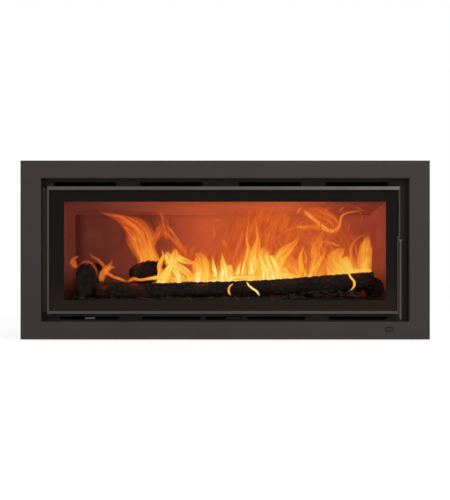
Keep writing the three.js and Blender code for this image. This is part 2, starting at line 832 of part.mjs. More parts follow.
function makeKeeper() {
  const z = handlePivotHeight;
  const cheekBack = stripFront - seat;
  const cheekFront = keeperPinDepth - keeperPinRadius - hookClearance;
  const cheekLeft = bladeLeft + handleThickness + keeperGap;
  const cheekRight = cheekLeft + keeperCheekThickness;
  const cheek = polygon([
    [cheekBack, z + keeperCheekHalfHeight],
    [cheekFront + keeperCheekChamfer, z + keeperCheekHalfHeight],
    [cheekFront, z + keeperCheekHalfHeight - keeperCheekChamfer],
    [cheekFront, z - keeperCheekHalfHeight + keeperCheekChamfer],
    [cheekFront + keeperCheekChamfer, z - keeperCheekHalfHeight],
    [cheekBack, z - keeperCheekHalfHeight],
  ]);
  const pinEnd = (cheekLeft + cheekRight) / 2;
  add('latch_keeper', join(
    sideways(cheek, cheekLeft, cheekRight),
    rodAlongX(doorNotchEdge + keeperPinClear, pinEnd, keeperPinDepth, z, keeperPinRadius, pinSteps),
  ), 'recessSteel');
}

// ---------------------------------------------------------------- convection casing

function makeCasing() {
  const flangeEnd = casingHalfWidth - casingFlange;
  for (const [name, side] of leftRight) {
    const path = [
      [side * flangeEnd, casingFront],
      [side * casingHalfWidth, casingFront],
      [side * casingHalfWidth, casingWallEnd],
      [side * flangeEnd, casingWallEnd],
    ];
    const wall = foldedSheet(path, side * casingSheet);
    add(`casing_side_${name}`, upright(wall, casingFloor + seat, casingTop - casingSheet - seat), 'galvanised');
  }

  const innerBack = casingWallEnd;
  const flangeHalf = flangeEnd - seat;
  const sheetHalf = casingHalfWidth;
  const topUnder = casingTop - casingSheet;
  const flangeDrop = casingFlange - casingSheet;
  const holeRadius = flueDiameter / 2 + flueCasingClearance;
  const topHole = rodAlongZ(0, flueDepth, topUnder - 1, casingTop + 1, holeRadius, flueSteps);
  const top = join(
    block(-sheetHalf, sheetHalf, casingFront, innerBack, topUnder, casingTop),
    block(-flangeHalf, flangeHalf, casingFront, casingFront + casingSheet, topUnder - flangeDrop, casingTop),
    block(-flangeHalf, flangeHalf, innerBack - casingSheet, innerBack, topUnder - flangeDrop, casingTop),
  );
  add('casing_top', cut(top, topHole), 'galvanised');

  const base = join(
    block(-sheetHalf, sheetHalf, casingFront, innerBack, casingBase, casingFloor),
    block(-flangeHalf, flangeHalf, casingFront, casingFront + casingSheet, casingBase, casingFloor + baseLip),
    block(-flangeHalf, flangeHalf, innerBack - casingSheet, innerBack, casingBase, casingFloor + flangeDrop),
  );
  const footHoles = footPlaces().map(([x, y]) => (
    rodAlongZ(x, y, casingBase - 1, casingFloor + 1, footStudRadius + boreClearance, pinSteps)
  ));
  add('casing_base', cut(base, ...footHoles), 'galvanised');

  // Back sheet with two pressed swages that stiffen it
  const line = [[casingBackFace, casingBase]];
  for (const share of swageShares) {
    const low = midHeight + share * openingHalfHeight - swageWidth / 2;
    const high = low + swageWidth;
    line.push([casingBackFace, low], [casingBack, low + swageDepth]);
    line.push([casingBack, high - swageDepth], [casingBackFace, high]);
  }
  line.push([casingBackFace, casingTop]);
  add('casing_back', sideways(foldedSheet(line, casingSheet), -sheetHalf, sheetHalf), 'galvanised');
}

function makeBrackets() {
  const front = surroundSheet + seat;
  const inner = casingHalfWidth + seat;
  for (const [name, side] of leftRight) {
    for (const [index, share] of bracketShares.entries()) {
      const path = [
        [side * (inner + bracketWidth), front],
        [side * inner, front],
        [side * inner, front + casingFront + bracketReach],
      ];
      const shape = foldedSheet(path, -side * bracketSheet);
      const middle = midHeight + share * openingHalfHeight;
      const geometry = upright(shape, middle - bracketHeight / 2, middle + bracketHeight / 2);
      add(`surround_bracket_${name}_${hingeNames[index]}`, geometry, 'galvanised');
    }
  }
}

// ---------------------------------------------------------------- firebox

function makeFirebox() {
  // Side profile, its roof falling to the front so that warm air can leave through the upper slots
  const profile = [
    [frontPlateFront, fireboxBottom],
    [fireboxBack, fireboxBottom],
    [fireboxBack, fireboxTop],
    [frontPlateFront + roofSlopeRun, fireboxTop],
    [frontPlateFront, above(fireboxBrowDrop)],
  ];
  const outer = sideways(polygon(profile), -fireboxHalfWidth, fireboxHalfWidth);
  const inner = sideways(polygon(inset(profile, fireboxPlate)), -fireboxInner, fireboxInner);
  const mouth = block(
    mouthSideInset - openingHalfWidth,
    openingHalfWidth - mouthSideInset,
    frontPlateFront - 1,
    frontPlateBack + 1,
    below(mouthEndInset),
    above(mouthEndInset),
  );
  const flueHole = rodAlongZ(
    0,
    flueDepth,
    fireboxTop - 2 * fireboxPlate,
    fireboxTop + fireboxPlate,
    flueDiameter / 2 - flueWall,
    flueSteps,
  );
  add('firebox_shell', cut(outer, inner, mouth, flueHole), 'plate');

  const deflectorFront = frontPlateBack + seat;
  const deflector = foldedSheet([
    [deflectorFront, above(deflectorTopDrop)],
    [deflectorFront, above(deflectorBendDrop)],
    [deflectorFront + deflectorLipDepth, above(deflectorLipDrop)],
  ], deflectorSheet);
  const reach = openingHalfWidth - deflectorEndInset;
  add('air_wash_deflector', sideways(deflector, -reach, reach), 'plate');
}

function makeFlueCollar() {
  const bottom = fireboxTop + seat;
  const top = casingTop + flueStand;
  const outer = flueDiameter / 2;
  const inner = outer - flueWall;
  const beadMiddle = top - flueBeadDrop;
  add('flue_collar', turned([
    [inner, bottom],
    [flueFlangeDiameter / 2, bottom],
    [flueFlangeDiameter / 2, bottom + flueFlangeThickness],
    [outer, bottom + flueFlangeThickness],
    [outer, beadMiddle - flueBead],
    [outer + flueBead / 2, beadMiddle],
    [outer, beadMiddle + flueBead],
    [outer, top],
    [inner, top],
    [inner, bottom],
  ], 0, flueDepth, flueSteps), 'plate');
}

function makeLinings() {
  const floor = fireboxFloor + seat;
  const front = chamberFront;
  const sideShape = polygon([
    [front, floor],
    [backBoardBack, floor],
    [backBoardBack, baffleUnder(backBoardBack) - seat],
    [front, baffleUnder(front) - seat],
  ]);
  add('side_liner_left', sideways(sideShape, -linerOuter, -linerInner), 'board');
  add('side_liner_right', sideways(sideShape, linerInner, linerOuter), 'board');

  const seam = linerInner * middleBoardShare;
  const edges = [-linerInner, -seam, seam, linerInner];
  const names = ['left', 'middle', 'right'];
  const boardTop = baffleUnder(backBoardBack) - seat;
  names.forEach((name, index) => {
    const shape = polygon(rectangle(edges[index] + seat, edges[index + 1] - seat, floor, boardTop));
    add(`back_board_${name}`, facing(shape, chamberBack, boardThickness, boardBevel), 'board');
  });

  for (const [name, side] of leftRight) {
    const near = Math.min(side * seat, side * (linerInner - seat));
    const far = Math.max(side * seat, side * (linerInner - seat));
    add(`hearth_board_${name}`, block(near, far, front, chamberBack - seat, floor, hearthTop), 'board');
  }

  const lift = baffleThickness * Math.hypot(1, baffleSlope);
  const baffle = polygon([
    [baffleFront, baffleUnder(baffleFront)],
    [backBoardBack, baffleUnder(backBoardBack)],
    [backBoardBack, baffleUnder(backBoardBack) + lift],
    [baffleFront, baffleUnder(baffleFront) + lift],
  ]);
  add('baffle', sideways(baffle, -linerOuter, linerOuter, boardBevel), 'board');
}

// ---------------------------------------------------------------- air box, slides, bearers and feet

function airPorts(centre, front, back) {
  return [-1, 0, 1].map((step) => {
    const x = centre + step * airPortPitch;
    const shape = roundSlot(new THREE.Shape(), x, airPortHeightMiddle, airPortWidth, airPortHeight);
    return facing(shape, front, back - front);
  });
}

const airPortHeightMiddle = (airBoxBottom + airBoxTop) / 2 - airLipHeight;
const grooveFront = airBoxFront + airBoxWall;
const grooveBack = grooveFront + airGrooveDepth;

function makeAirBox() {
  const back = airBoxFront + airBoxDepth;
  const floor = airBoxBottom + airBoxWall;
  const roof = airBoxTop - airBoxWall;
  const section = polygon([
    [airBoxFront, airBoxBottom],
    [back, airBoxBottom],
    [back, airBoxTop],
    [airBoxFront, airBoxTop],
    [airBoxFront, roof - airLipHeight / 4],
    [grooveFront, roof - airLipHeight / 4],
    [grooveFront, roof],
    [grooveBack, roof],
    [grooveBack, floor],
    [grooveFront, floor],
    [grooveFront, floor + airLipHeight],
    [airBoxFront, floor + airLipHeight],
  ]);
  const box = sideways(section, -airBoxHalfLength, airBoxHalfLength);
  const wallBack = grooveBack + airBoxWall;
  const reach = airBoxHalfLength + 1;
  const duct = block(-reach, reach, wallBack, back - airBoxWall, floor, roof);
  const ports = [leftTipCentre, centreTipCentre].flatMap((x) => airPorts(x, grooveBack - 1, wallBack + 1));
  add('air_box', cut(box, duct, ...ports), 'plate');
}

function makeSlide(name, centre, tip) {
  const clearance = (airGrooveDepth - slideThickness) / 2;
  const front = grooveFront + clearance;
  const back = front + slideThickness;
  const floor = airBoxBottom + airBoxWall + seat;
  const roof = airBoxTop - airBoxWall - seat;
  const plate = cut(
    block(centre - slideLength / 2, centre + slideLength / 2, front, back, floor, roof),
    ...airPorts(centre, front - 1, back + 1),
  );
  const half = leverThickness / 2;
  const bar = block(
    centre - leverBarWidth / 2,
    centre + leverBarWidth / 2,
    leverFront + tip.depth - tipSocket,
    front + slideThickness / 2,
    airSlotLevel - half,
    airSlotLevel + half,
  );
  add(`${name}_air_slide`, join(plate, bar), 'plate');

  // Finger tip with rounded corners, pressed over the end of the bar
  const shape = roundedRectangle(new THREE.Shape(), centre, airSlotLevel, tip.width, tip.height, tip.height / 3);
  const solid = facing(shape, leverFront, tip.depth, tipBevel);
  const socket = block(
    centre - leverBarWidth / 2 - seat,
    centre + leverBarWidth / 2 + seat,
    leverFront + tip.depth - tipSocket - seat,
    leverFront + tip.depth + tipSocket,
    airSlotLevel - half - seat,
    airSlotLevel + half + seat,
  );
  add(`${name}_air_tip`, cut(solid, socket), tip.look);
}

function makeBearers() {
  for (const [name, side] of leftRight) {
    const centre = side * openingHalfWidth * bearerShare;
    const half = bearerWidth / 2;
    const flangeTop = airBoxBottom + bearerSheet;
    const section = foldedSheet([
      [centre + half + bearerFlange, flangeTop],
      [centre + half, flangeTop],
      [centre + half, airBoxTop],
      [centre - half, airBoxTop],
      [centre - half, flangeTop],
      [centre - half - bearerFlange, flangeTop],
    ], bearerSheet);
    add(`firebox_bearer_${name}`, facing(section, bearerFront, bearerBack - bearerFront), 'galvanised');
  }
}

function footPlaces() {
  return [-1, 1].flatMap((side) => [footFront, footBack].map((y) => [side * (casingHalfWidth - footInset), y]));
}

function makeFeet() {
  const names = ['front_left', 'rear_left', 'front_right', 'rear_right'];
  footPlaces().forEach(([x, y], index) => {
    const stud = turned([
      [0, 0],
      [footPadRadius - 1, 0],
      [footPadRadius, 1],
      [footPadRadius, footPadRim],
      [footStudRadius + footConeWidth, footPadHeight],
      [footStudRadius, footPadHeight],
      [footStudRadius, casingFloor + footStudAbove - 1],
      [footStudRadius - 1, casingFloor + footStudAbove],
      [0, casingFloor + footStudAbove],
    ], x, y, pinSteps);
    const nutRadius = footNutAcross / Math.sqrt(3);
    const nut = (bottom) => rodAlongZ(x, y, bottom, bottom + footNutHeight, nutRadius, footNutSides);
    const foot = join(stud, nut(casingBase - seat - footNutHeight), nut(casingFloor + seat));
    add(`levelling_foot_${names[index]}`, foot, 'pin');
  });
}

// ---------------------------------------------------------------- fuel

// A charred log between two points: a cylinder with furrowed bark, slightly bent, with ragged round ends
function logShape({ from, to, radius, flatten = 1, bend = 0, seed = 0, grow = 0, around = 14, along = 12 }) {
  const start = new THREE.Vector3(...from);
  const end = new THREE.Vector3(...to);
  const axis = end.clone().sub(start).normalize();
  const up = new THREE.Vector3(0, 0, 1);
  const across = new THREE.Vector3().crossVectors(axis, up).normalize();
  const rise = new THREE.Vector3().crossVectors(across, axis);
  const geometry = new THREE.CylinderGeometry(1, 1, 1, around, along);
  const position = geometry.attributes.position;
  const point = new THREE.Vector3();
  for (let index = 0; index < position.count; index += 1) {
    point.fromBufferAttribute(position, index);
    const share = point.y + 0.5;
    const spread = Math.hypot(point.x, point.z);
    const angle = Math.atan2(point.x, point.z);
    const furrow = 0.035 * Math.cos(5 * angle + 9 * share + seed) + 0.025 * Math.cos(3 * angle - 14 * share + 2 * seed);
    const swell = 0.05 * Math.sin(7 * share + seed) + 0.03 * Math.sin(17 * share + 3 * seed);
    const reach = (radius * (1 + furrow + swell) + grow) * spread;
    const centre = start.clone().lerp(end, share).addScaledVector(axis, (share - 0.5) * 2 * grow);
    centre.addScaledVector(up, bend * Math.sin(Math.PI * share));
    centre.addScaledVector(across, Math.sin(angle) * reach);
    centre.addScaledVector(rise, Math.cos(angle) * reach * flatten);
    position.setXYZ(index, centre.x, centre.y, centre.z);
  }
  return geometry;
}

const fromLeft = ([gap, share, rise]) => [gap - linerInner, share * chamberBack, hearthTop + rise];
const fromRight = ([gap, share, rise]) => [linerInner - gap, share * chamberBack, hearthTop + rise];
const logs = {
  log_front: {
    from: fromLeft(logFrontLeft),
    to: fromRight(logFrontRight),
    radius: logFrontRadius,
    bend: logFrontSag,
    seed: 0.4,
    along: 22,
  },
  log_left: {
    from: fromLeft(logLeftFront),
    to: fromLeft(logLeftRear),
    radius: logLeftRadius,
    flatten: 1.8,
    seed: 1.7,
    along: 8,
  },
  log_back: { from: fromLeft(logBackFront), to: fromLeft(logBackRear), radius: logBackRadius, seed: 2.9, along: 8 },
  log_rear: { from: fromLeft(logRearLeft), to: fromRight(logRearRight), radius: logRearRadius, seed: 4.1, along: 10 },
  log_right: {
    from: fromRight(logRightFront),
    to: fromRight(logRightRear),
    radius: logRightRadius,
    flatten: 1.7,
    seed: 5.3,
    along: 6,
  },
};

function makeFuel() {
  const placed = [];
  for (const [name, size] of Object.entries(logs)) {
    const clear = placed.map((other) => logShape({ ...other, grow: seat }));
    const whole = logShape(size);
    add(name, clear.length ? cut(whole, ...clear) : join(whole), 'log');
    placed.push(size);
  }

  // Ember bed: low in front, heaped under the logs and falling away to the walls
  const depth = emberBack - emberFront;
  const emberWidth = 2 * (linerInner - emberSideGap);
  const bed = new THREE.BoxGeometry(emberWidth, depth, emberEdge, emberColumns, emberRows, 1);
  bed.translate(0, (emberFront + emberBack) / 2, hearthTop + seat + emberEdge / 2);
  const position = bed.attributes.position;
  for (let index = 0; index < position.count; index += 1) {
    const x = position.getX(index);
    const y = position.getY(index);
    const z = position.getZ(index);
    if (z > hearthTop + seat + emberEdge / 2) {
      const across = Math.cos((Math.PI * x) / emberWidth);
      const back = Math.sin((Math.PI * (y - emberFront)) / depth);
      const lumps = 1 + 0.25 * Math.sin(x / 17) * Math.cos(y / 13) + 0.15 * Math.sin(x / 7.3 + y / 11);
      position.setZ(index, z + emberRise * Math.sqrt(Math.max(0, across * back)) * lumps);
    }
  }
  add('ember_bed', cut(bed, ...placed.map((other) => logShape({ ...other, grow: seat }))), 'ember');
}

// ---------------------------------------------------------------- assembly

makeSurround();
makeBadge();
makeSlottedStrips();
makeCheeks();
makeDoorFrame();
makeGlass();
makeInnerFrame();
makeHinge(hingeNames[0], doorBottom, -1);
makeHinge(hingeNames[1], doorTop, 1);
makeHandle();
makeKeeper();
makeCasing();
makeBrackets();
makeFirebox();
makeFlueCollar();
makeLinings();
makeAirBox();
makeSlide('left', leftTipCentre, {
  width: leftTipWidth,
  height: leftTipHeight,
  depth: leftTipDepth,
  look: 'brushed',
});
makeSlide('centre', centreTipCentre, {
  width: centreTipWidth,
  height: centreTipHeight,
  depth: centreTipDepth,
  look: 'recessSteel',
});
makeBearers();
makeFeet();
makeFuel();

const foremost = -badgeThickness - seat;
insert.position.y = -(foremost + casingBack) / 2;

export default insert;
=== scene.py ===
# Looks of a wood-burning fireplace insert: painted steel surround, glazed door, lined chamber, logs and fire
import math
import random

import bpy
from mathutils import Euler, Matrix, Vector, noise


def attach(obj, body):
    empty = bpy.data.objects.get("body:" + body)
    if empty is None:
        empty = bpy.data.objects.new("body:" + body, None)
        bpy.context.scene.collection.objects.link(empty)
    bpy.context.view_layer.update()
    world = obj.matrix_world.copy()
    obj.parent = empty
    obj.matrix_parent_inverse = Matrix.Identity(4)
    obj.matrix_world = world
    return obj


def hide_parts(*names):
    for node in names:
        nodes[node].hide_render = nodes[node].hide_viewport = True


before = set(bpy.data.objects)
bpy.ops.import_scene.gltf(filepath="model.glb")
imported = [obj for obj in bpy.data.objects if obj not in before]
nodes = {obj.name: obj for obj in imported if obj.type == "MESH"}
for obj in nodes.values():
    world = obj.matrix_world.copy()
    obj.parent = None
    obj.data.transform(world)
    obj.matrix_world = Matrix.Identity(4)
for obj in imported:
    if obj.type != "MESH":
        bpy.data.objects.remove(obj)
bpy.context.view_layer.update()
scene = bpy.context.scene
print("frame loaded:", len(nodes), "nodes")

# Places in the CAD, in metres: sizes here are given from the face of the surround and from its middle height
faceY = -0.193
midZ = 0.2315


def place(x, depth, level):
    # mm across, mm behind the face of the surround and mm above its middle
    return Vector((x / 1000, faceY + depth / 1000, midZ + level / 1000))


def linear(code):
    value = [int(code[i:i + 2], 16) / 255 for i in (1, 3, 5)]
    return [c / 12.92 if c <= 0.04045 else ((c + 0.055) / 1.055) ** 2.4 for c in value] + [1.0]


def setInputs(tree, node, inputs):
    # An input takes a value, a socket, or a whole node, which stands for its first output
    for key, value in inputs.items():
        if isinstance(value, bpy.types.Node):
            value = value.outputs[0]
        if isinstance(value, bpy.types.NodeSocket):
            tree.links.new(value, node.inputs[key])
        else:
            node.inputs[key].default_value = value


def addNode(tree, kind, inputs=None, stops=None, **settings):
    # stops are a colour ramp's positions, each with a colour or a grey level
    node = tree.nodes.new(kind)
    for name, value in settings.items():
        setattr(node, name, value)
    if stops:
        elements = node.color_ramp.elements
        while len(elements) < len(stops):
            elements.new(0.5)
        for element, (position, color) in zip(elements, stops):
            element.position = position
            element.color = linear(color) if isinstance(color, str) else [color] * 3 + [1]
    setInputs(tree, node, inputs or {})
    return node


def startMaterial(name, roughness=0.5, metallic=0.0, specular=0.5):
    material = bpy.data.materials.new(name)
    material.use_nodes = True
    tree = material.node_tree
    shader = tree.nodes["Principled BSDF"]
    where = addNode(tree, "ShaderNodeTexCoord").outputs["Object"]
    setInputs(tree, shader, {"Roughness": roughness, "Metallic": metallic, "Specular IOR Level": specular})
    return material, tree, shader, where


# A noise of Scale 500 / mm has blotches about that many mm across
def stovePaint(name, dark, light, roughness=0.52, specular=0.25):
    # High-temperature stove paint, sprayed on sheet steel: matt, with a fine dry grain and a faint cloudiness
    material, tree, shader, where = startMaterial(name, roughness, 0.0, specular)
    clouds = addNode(tree, "ShaderNodeTexNoise", {"Vector": where, "Scale": 500 / 90, "Detail": 3})
    spray = addNode(tree, "ShaderNodeTexNoise", {"Vector": where, "Scale": 500 / 1.1, "Detail": 1})
    tone = addNode(tree, "ShaderNodeMath", {
        0: addNode(tree, "ShaderNodeMath", {0: clouds, 1: 0.7}, operation="MULTIPLY"),
        1: addNode(tree, "ShaderNodeMath", {0: spray, 1: 0.3}, operation="MULTIPLY"),
    }, operation="ADD")
    shine = addNode(tree, "ShaderNodeMapRange", {
        "Value": addNode(tree, "ShaderNodeTexNoise", {"Vector": where, "Scale": 500 / 30, "Detail": 3}),
        "From Min": 0.3,
        "From Max": 0.7,
        "To Min": roughness - 0.05,
        "To Max": roughness + 0.07,
    })
    setInputs(tree, shader, {
        "Base Color": addNode(tree, "ShaderNodeValToRGB", {"Fac": tone}, stops=[(0.3, dark), (0.7, light)]),
        "Roughness": shine,
        "Normal": addNode(tree, "ShaderNodeBump", {"Height": spray, "Distance": 0.00012, "Strength": 0.5}),
    })
    return material


def galvanisedSheet():
    # Hot-dip galvanised sheet, folded: grey zinc with spangle crystals about 10 mm across
    material, tree, shader, where = startMaterial("galvanised sheet", 0.42, 0.85)
    crystals = addNode(tree, "ShaderNodeTexVoronoi", {"Vector": where, "Scale": 105.0, "Randomness": 1.0})
    tint = addNode(tree, "ShaderNodeSeparateColor", {0: crystals.outputs["Color"]}).outputs[0]
    tone = addNode(tree, "ShaderNodeMath", {
        0: addNode(tree, "ShaderNodeMath", {0: tint, 1: 0.5}, operation="MULTIPLY"),
        1: addNode(tree, "ShaderNodeMath", {
            0: addNode(tree, "ShaderNodeTexNoise", {"Vector": where, "Scale": 500 / 60, "Detail": 4}),
            1: 0.6,
        }, operation="MULTIPLY"),
    }, operation="ADD")
    rough = addNode(tree, "ShaderNodeMapRange", {"Value": tint, "To Min": 0.34, "To Max": 0.55})
    setInputs(tree, shader, {
        "Base Color": addNode(tree, "ShaderNodeValToRGB", {"Fac": tone}, stops=[
            (0.15, "#7b8083"), (0.55, "#959a9c"), (0.95, "#adb1b1"),
        ]),
        "Roughness": rough,
        "Normal": addNode(tree, "ShaderNodeBump", {
            "Height": crystals.outputs["Distance"], "Distance": 0.0001, "Strength": 0.25,
        }),
    })
    return material


def weldedPlate():
    # Black-painted steel plate of a firebox: dull, with heat marks in brown and grey
    # Kept near black as painted shade, for where it shows through the slots
    material, tree, shader, where = startMaterial("painted firebox plate", 0.8, 0.0, 0.12)
    heat = addNode(tree, "ShaderNodeTexNoise", {
        "Vector": where, "Scale": 500 / 130, "Detail": 5, "Roughness": 0.6,
    })
    fine = addNode(tree, "ShaderNodeTexNoise", {"Vector": where, "Scale": 500 / 2.5, "Detail": 3})
    setInputs(tree, shader, {
        "Base Color": addNode(tree, "ShaderNodeValToRGB", {"Fac": heat}, stops=[
            (0.32, "#080706"), (0.5, "#0e0c0b"), (0.62, "#17120e"), (0.75, "#0f0e0e"),
        ]),
        "Normal": addNode(tree, "ShaderNodeBump", {"Height": fine, "Distance": 0.0002, "Strength": 0.6}),
    })
    return material


def zincPlatedSteel():
    # Zinc-plated turned steel: bright, with fine lathe rings and a little yellowing
    material, tree, shader, where = startMaterial("zinc-plated steel", 0.32, 0.95)
    rings = addNode(tree, "ShaderNodeTexWave", {
        "Vector": where, "Scale": 450.0, "Distortion": 0.4, "Detail": 1.0,
    }, bands_direction="Z").outputs["Fac"]
    wear = addNode(tree, "ShaderNodeTexNoise", {"Vector": where, "Scale": 500 / 4, "Detail": 3})
    setInputs(tree, shader, {
        "Base Color": addNode(tree, "ShaderNodeValToRGB", {"Fac": wear}, stops=[
            (0.3, "#8d8a83"), (0.7, "#b7b4ac"),
        ]),
        "Normal": addNode(tree, "ShaderNodeBump", {"Height": rings, "Distance": 0.00005, "Strength": 0.4}),
    })
    return material


def brushedSteel():
    # Stainless steel brushed along its length: grey, satin, streaks about 0.5 mm wide
    material, tree, shader, where = startMaterial("brushed stainless steel", 0.42, 1.0)
    streaks = addNode(tree, "ShaderNodeTexNoise", {
        "Vector": addNode(tree, "ShaderNodeMapping", {"Vector": where, "Scale": (0.04, 1, 1)}),
        "Scale": 500 / 0.5,
        "Roughness": 0.6,
    })
    setInputs(tree, shader, {
        "Base Color": addNode(tree, "ShaderNodeValToRGB", {"Fac": streaks}, stops=[
            (0.3, "#504e4c"), (0.7, "#757370"),
        ]),
        "Normal": addNode(tree, "ShaderNodeBump", {
            "Height": streaks, "Distance": 0.00004, "Strength": 0.5,
        }),
    })
    return material


def printedGlass(window):
    # Glass-ceramic pane, 4 mm: clear in the middle, with a black fired-on enamel border and a thin haze of
    # soot at its edge
    material, tree, shader, where = startMaterial("glass-ceramic with black enamel border", 0.12, 0.0, 0.05)
    left, right, low, high = [window[side] for side in ("left", "right", "low", "high")]
    axes = addNode(tree, "ShaderNodeSeparateXYZ", {0: where}).outputs
    acrossMm = addNode(tree, "ShaderNodeMath", {0: axes[0], 1: 1000}, operation="MULTIPLY")
    levelMm = addNode(tree, "ShaderNodeMath", {
        0: addNode(tree, "ShaderNodeMath", {0: axes[2], 1: midZ}, operation="SUBTRACT"),
        1: 1000,
    }, operation="MULTIPLY")
    fromMiddleX = addNode(tree, "ShaderNodeMath", {
        0: addNode(tree, "ShaderNodeMath", {0: acrossMm, 1: (left + right) / 2}, operation="SUBTRACT"),
    }, operation="ABSOLUTE")
    fromMiddleZ = addNode(tree, "ShaderNodeMath", {
        0: addNode(tree, "ShaderNodeMath", {0: levelMm, 1: (low + high) / 2}, operation="SUBTRACT"),
    }, operation="ABSOLUTE")
    overX = addNode(tree, "ShaderNodeMath", {0: fromMiddleX, 1: (right - left) / 2}, operation="SUBTRACT")
    overZ = addNode(tree, "ShaderNodeMath", {0: fromMiddleZ, 1: (high - low) / 2}, operation="SUBTRACT")
    # mm outside the clear window
    beyond = addNode(tree, "ShaderNodeMath", {0: overX, 1: overZ}, operation="MAXIMUM")
    enamel = addNode(tree, "ShaderNodeMapRange", {"Value": beyond, "From Min": -0.4, "From Max": 0.4})
    haze = addNode(tree, "ShaderNodeMapRange", {
        "Value": beyond, "From Min": -26.0, "From Max": 0.0, "To Min": 0.015, "To Max": 0.10,
    }, interpolation_type="SMOOTHSTEP")
    cloudy = addNode(tree, "ShaderNodeMath", {
        0: haze,
        1: addNode(tree, "ShaderNodeMath", {
            0: addNode(tree, "ShaderNodeTexNoise", {"Vector": where, "Scale": 500 / 45, "Detail": 4}),
            1: 0.4,
        }, operation="ADD"),
    }, operation="MULTIPLY")
    height = addNode(tree, "ShaderNodeMapRange", {"Value": levelMm, "From Min": -160.0, "From Max": 160.0})
    # The border is lighter towards the bottom
    borderTone = addNode(tree, "ShaderNodeValToRGB", {"Fac": height}, stops=[
        (0.0, "#26201b"), (0.10, "#231d19"), (0.22, "#181511"), (0.6, "#15120e"), (1.0, "#14110e"),
    ])
    speck = addNode(tree, "ShaderNodeMix", {
        0: addNode(tree, "ShaderNodeMath", {
            0: addNode(tree, "ShaderNodeTexNoise", {"Vector": where, "Scale": 500 / 1.0, "Detail": 1}),
            1: 0.25,
        }, operation="MULTIPLY"),
        6: borderTone,
        7: linear("#1e1a16"),
    }, data_type="RGBA").outputs[2]
    setInputs(tree, shader, {
        "Alpha": addNode(
            tree, "ShaderNodeMath", {0: enamel, 1: cloudy}, operation="MAXIMUM", use_clamp=True,
        ),
        "Base Color": speck,
    })
    return material


def glassTape():
    # Woven glass-fibre gasket tape: dull grey, threads drawn 2 mm apart so that they show
    material, tree, shader, where = startMaterial("glass-fibre gasket tape", 0.95, 0.0, 0.2)
    weave = addNode(tree, "ShaderNodeTexWave", {
        "Vector": where, "Scale": 160.0, "Distortion": 1.0,
    }, bands_direction="DIAGONAL").outputs["Fac"]
    setInputs(tree, shader, {
        "Base Color": addNode(tree, "ShaderNodeValToRGB", {"Fac": weave}, stops=[
            (0.1, "#4c4843"), (0.9, "#7a756d"),
        ]),
        "Normal": addNode(tree, "ShaderNodeBump", {"Height": weave, "Distance": 0.0004, "Strength": 0.8}),
    })
    return material


def braidedRope():
    # Glass-fibre door rope, graphite-treated: dark braid, strands about 3 mm wide, crossing both ways
    material, tree, shader, where = startMaterial("braided glass-fibre rope", 0.9, 0.0, 0.25)
    rising = addNode(tree, "ShaderNodeMapping", {"Vector": where, "Rotation": (0.0, math.radians(45), 0.0)})
    falling = addNode(tree, "ShaderNodeMapping", {
        "Vector": where, "Rotation": (0.0, math.radians(-45), 0.0),
    })
    strands = [
        addNode(tree, "ShaderNodeTexWave", {"Vector": way, "Scale": 52.0, "Distortion": 0.6}).outputs["Fac"]
        for way in (rising, falling)
    ]
    braid = addNode(tree, "ShaderNodeMath", {0: strands[0], 1: strands[1]}, operation="MAXIMUM")
    setInputs(tree, shader, {
        "Base Color": addNode(tree, "ShaderNodeValToRGB", {"Fac": braid}, stops=[
            (0.2, "#191716"), (0.95, "#4a4541"),
        ]),
        "Normal": addNode(tree, "ShaderNodeBump", {"Height": braid, "Distance": 0.0012, "Strength": 0.9}),
    })
    return material


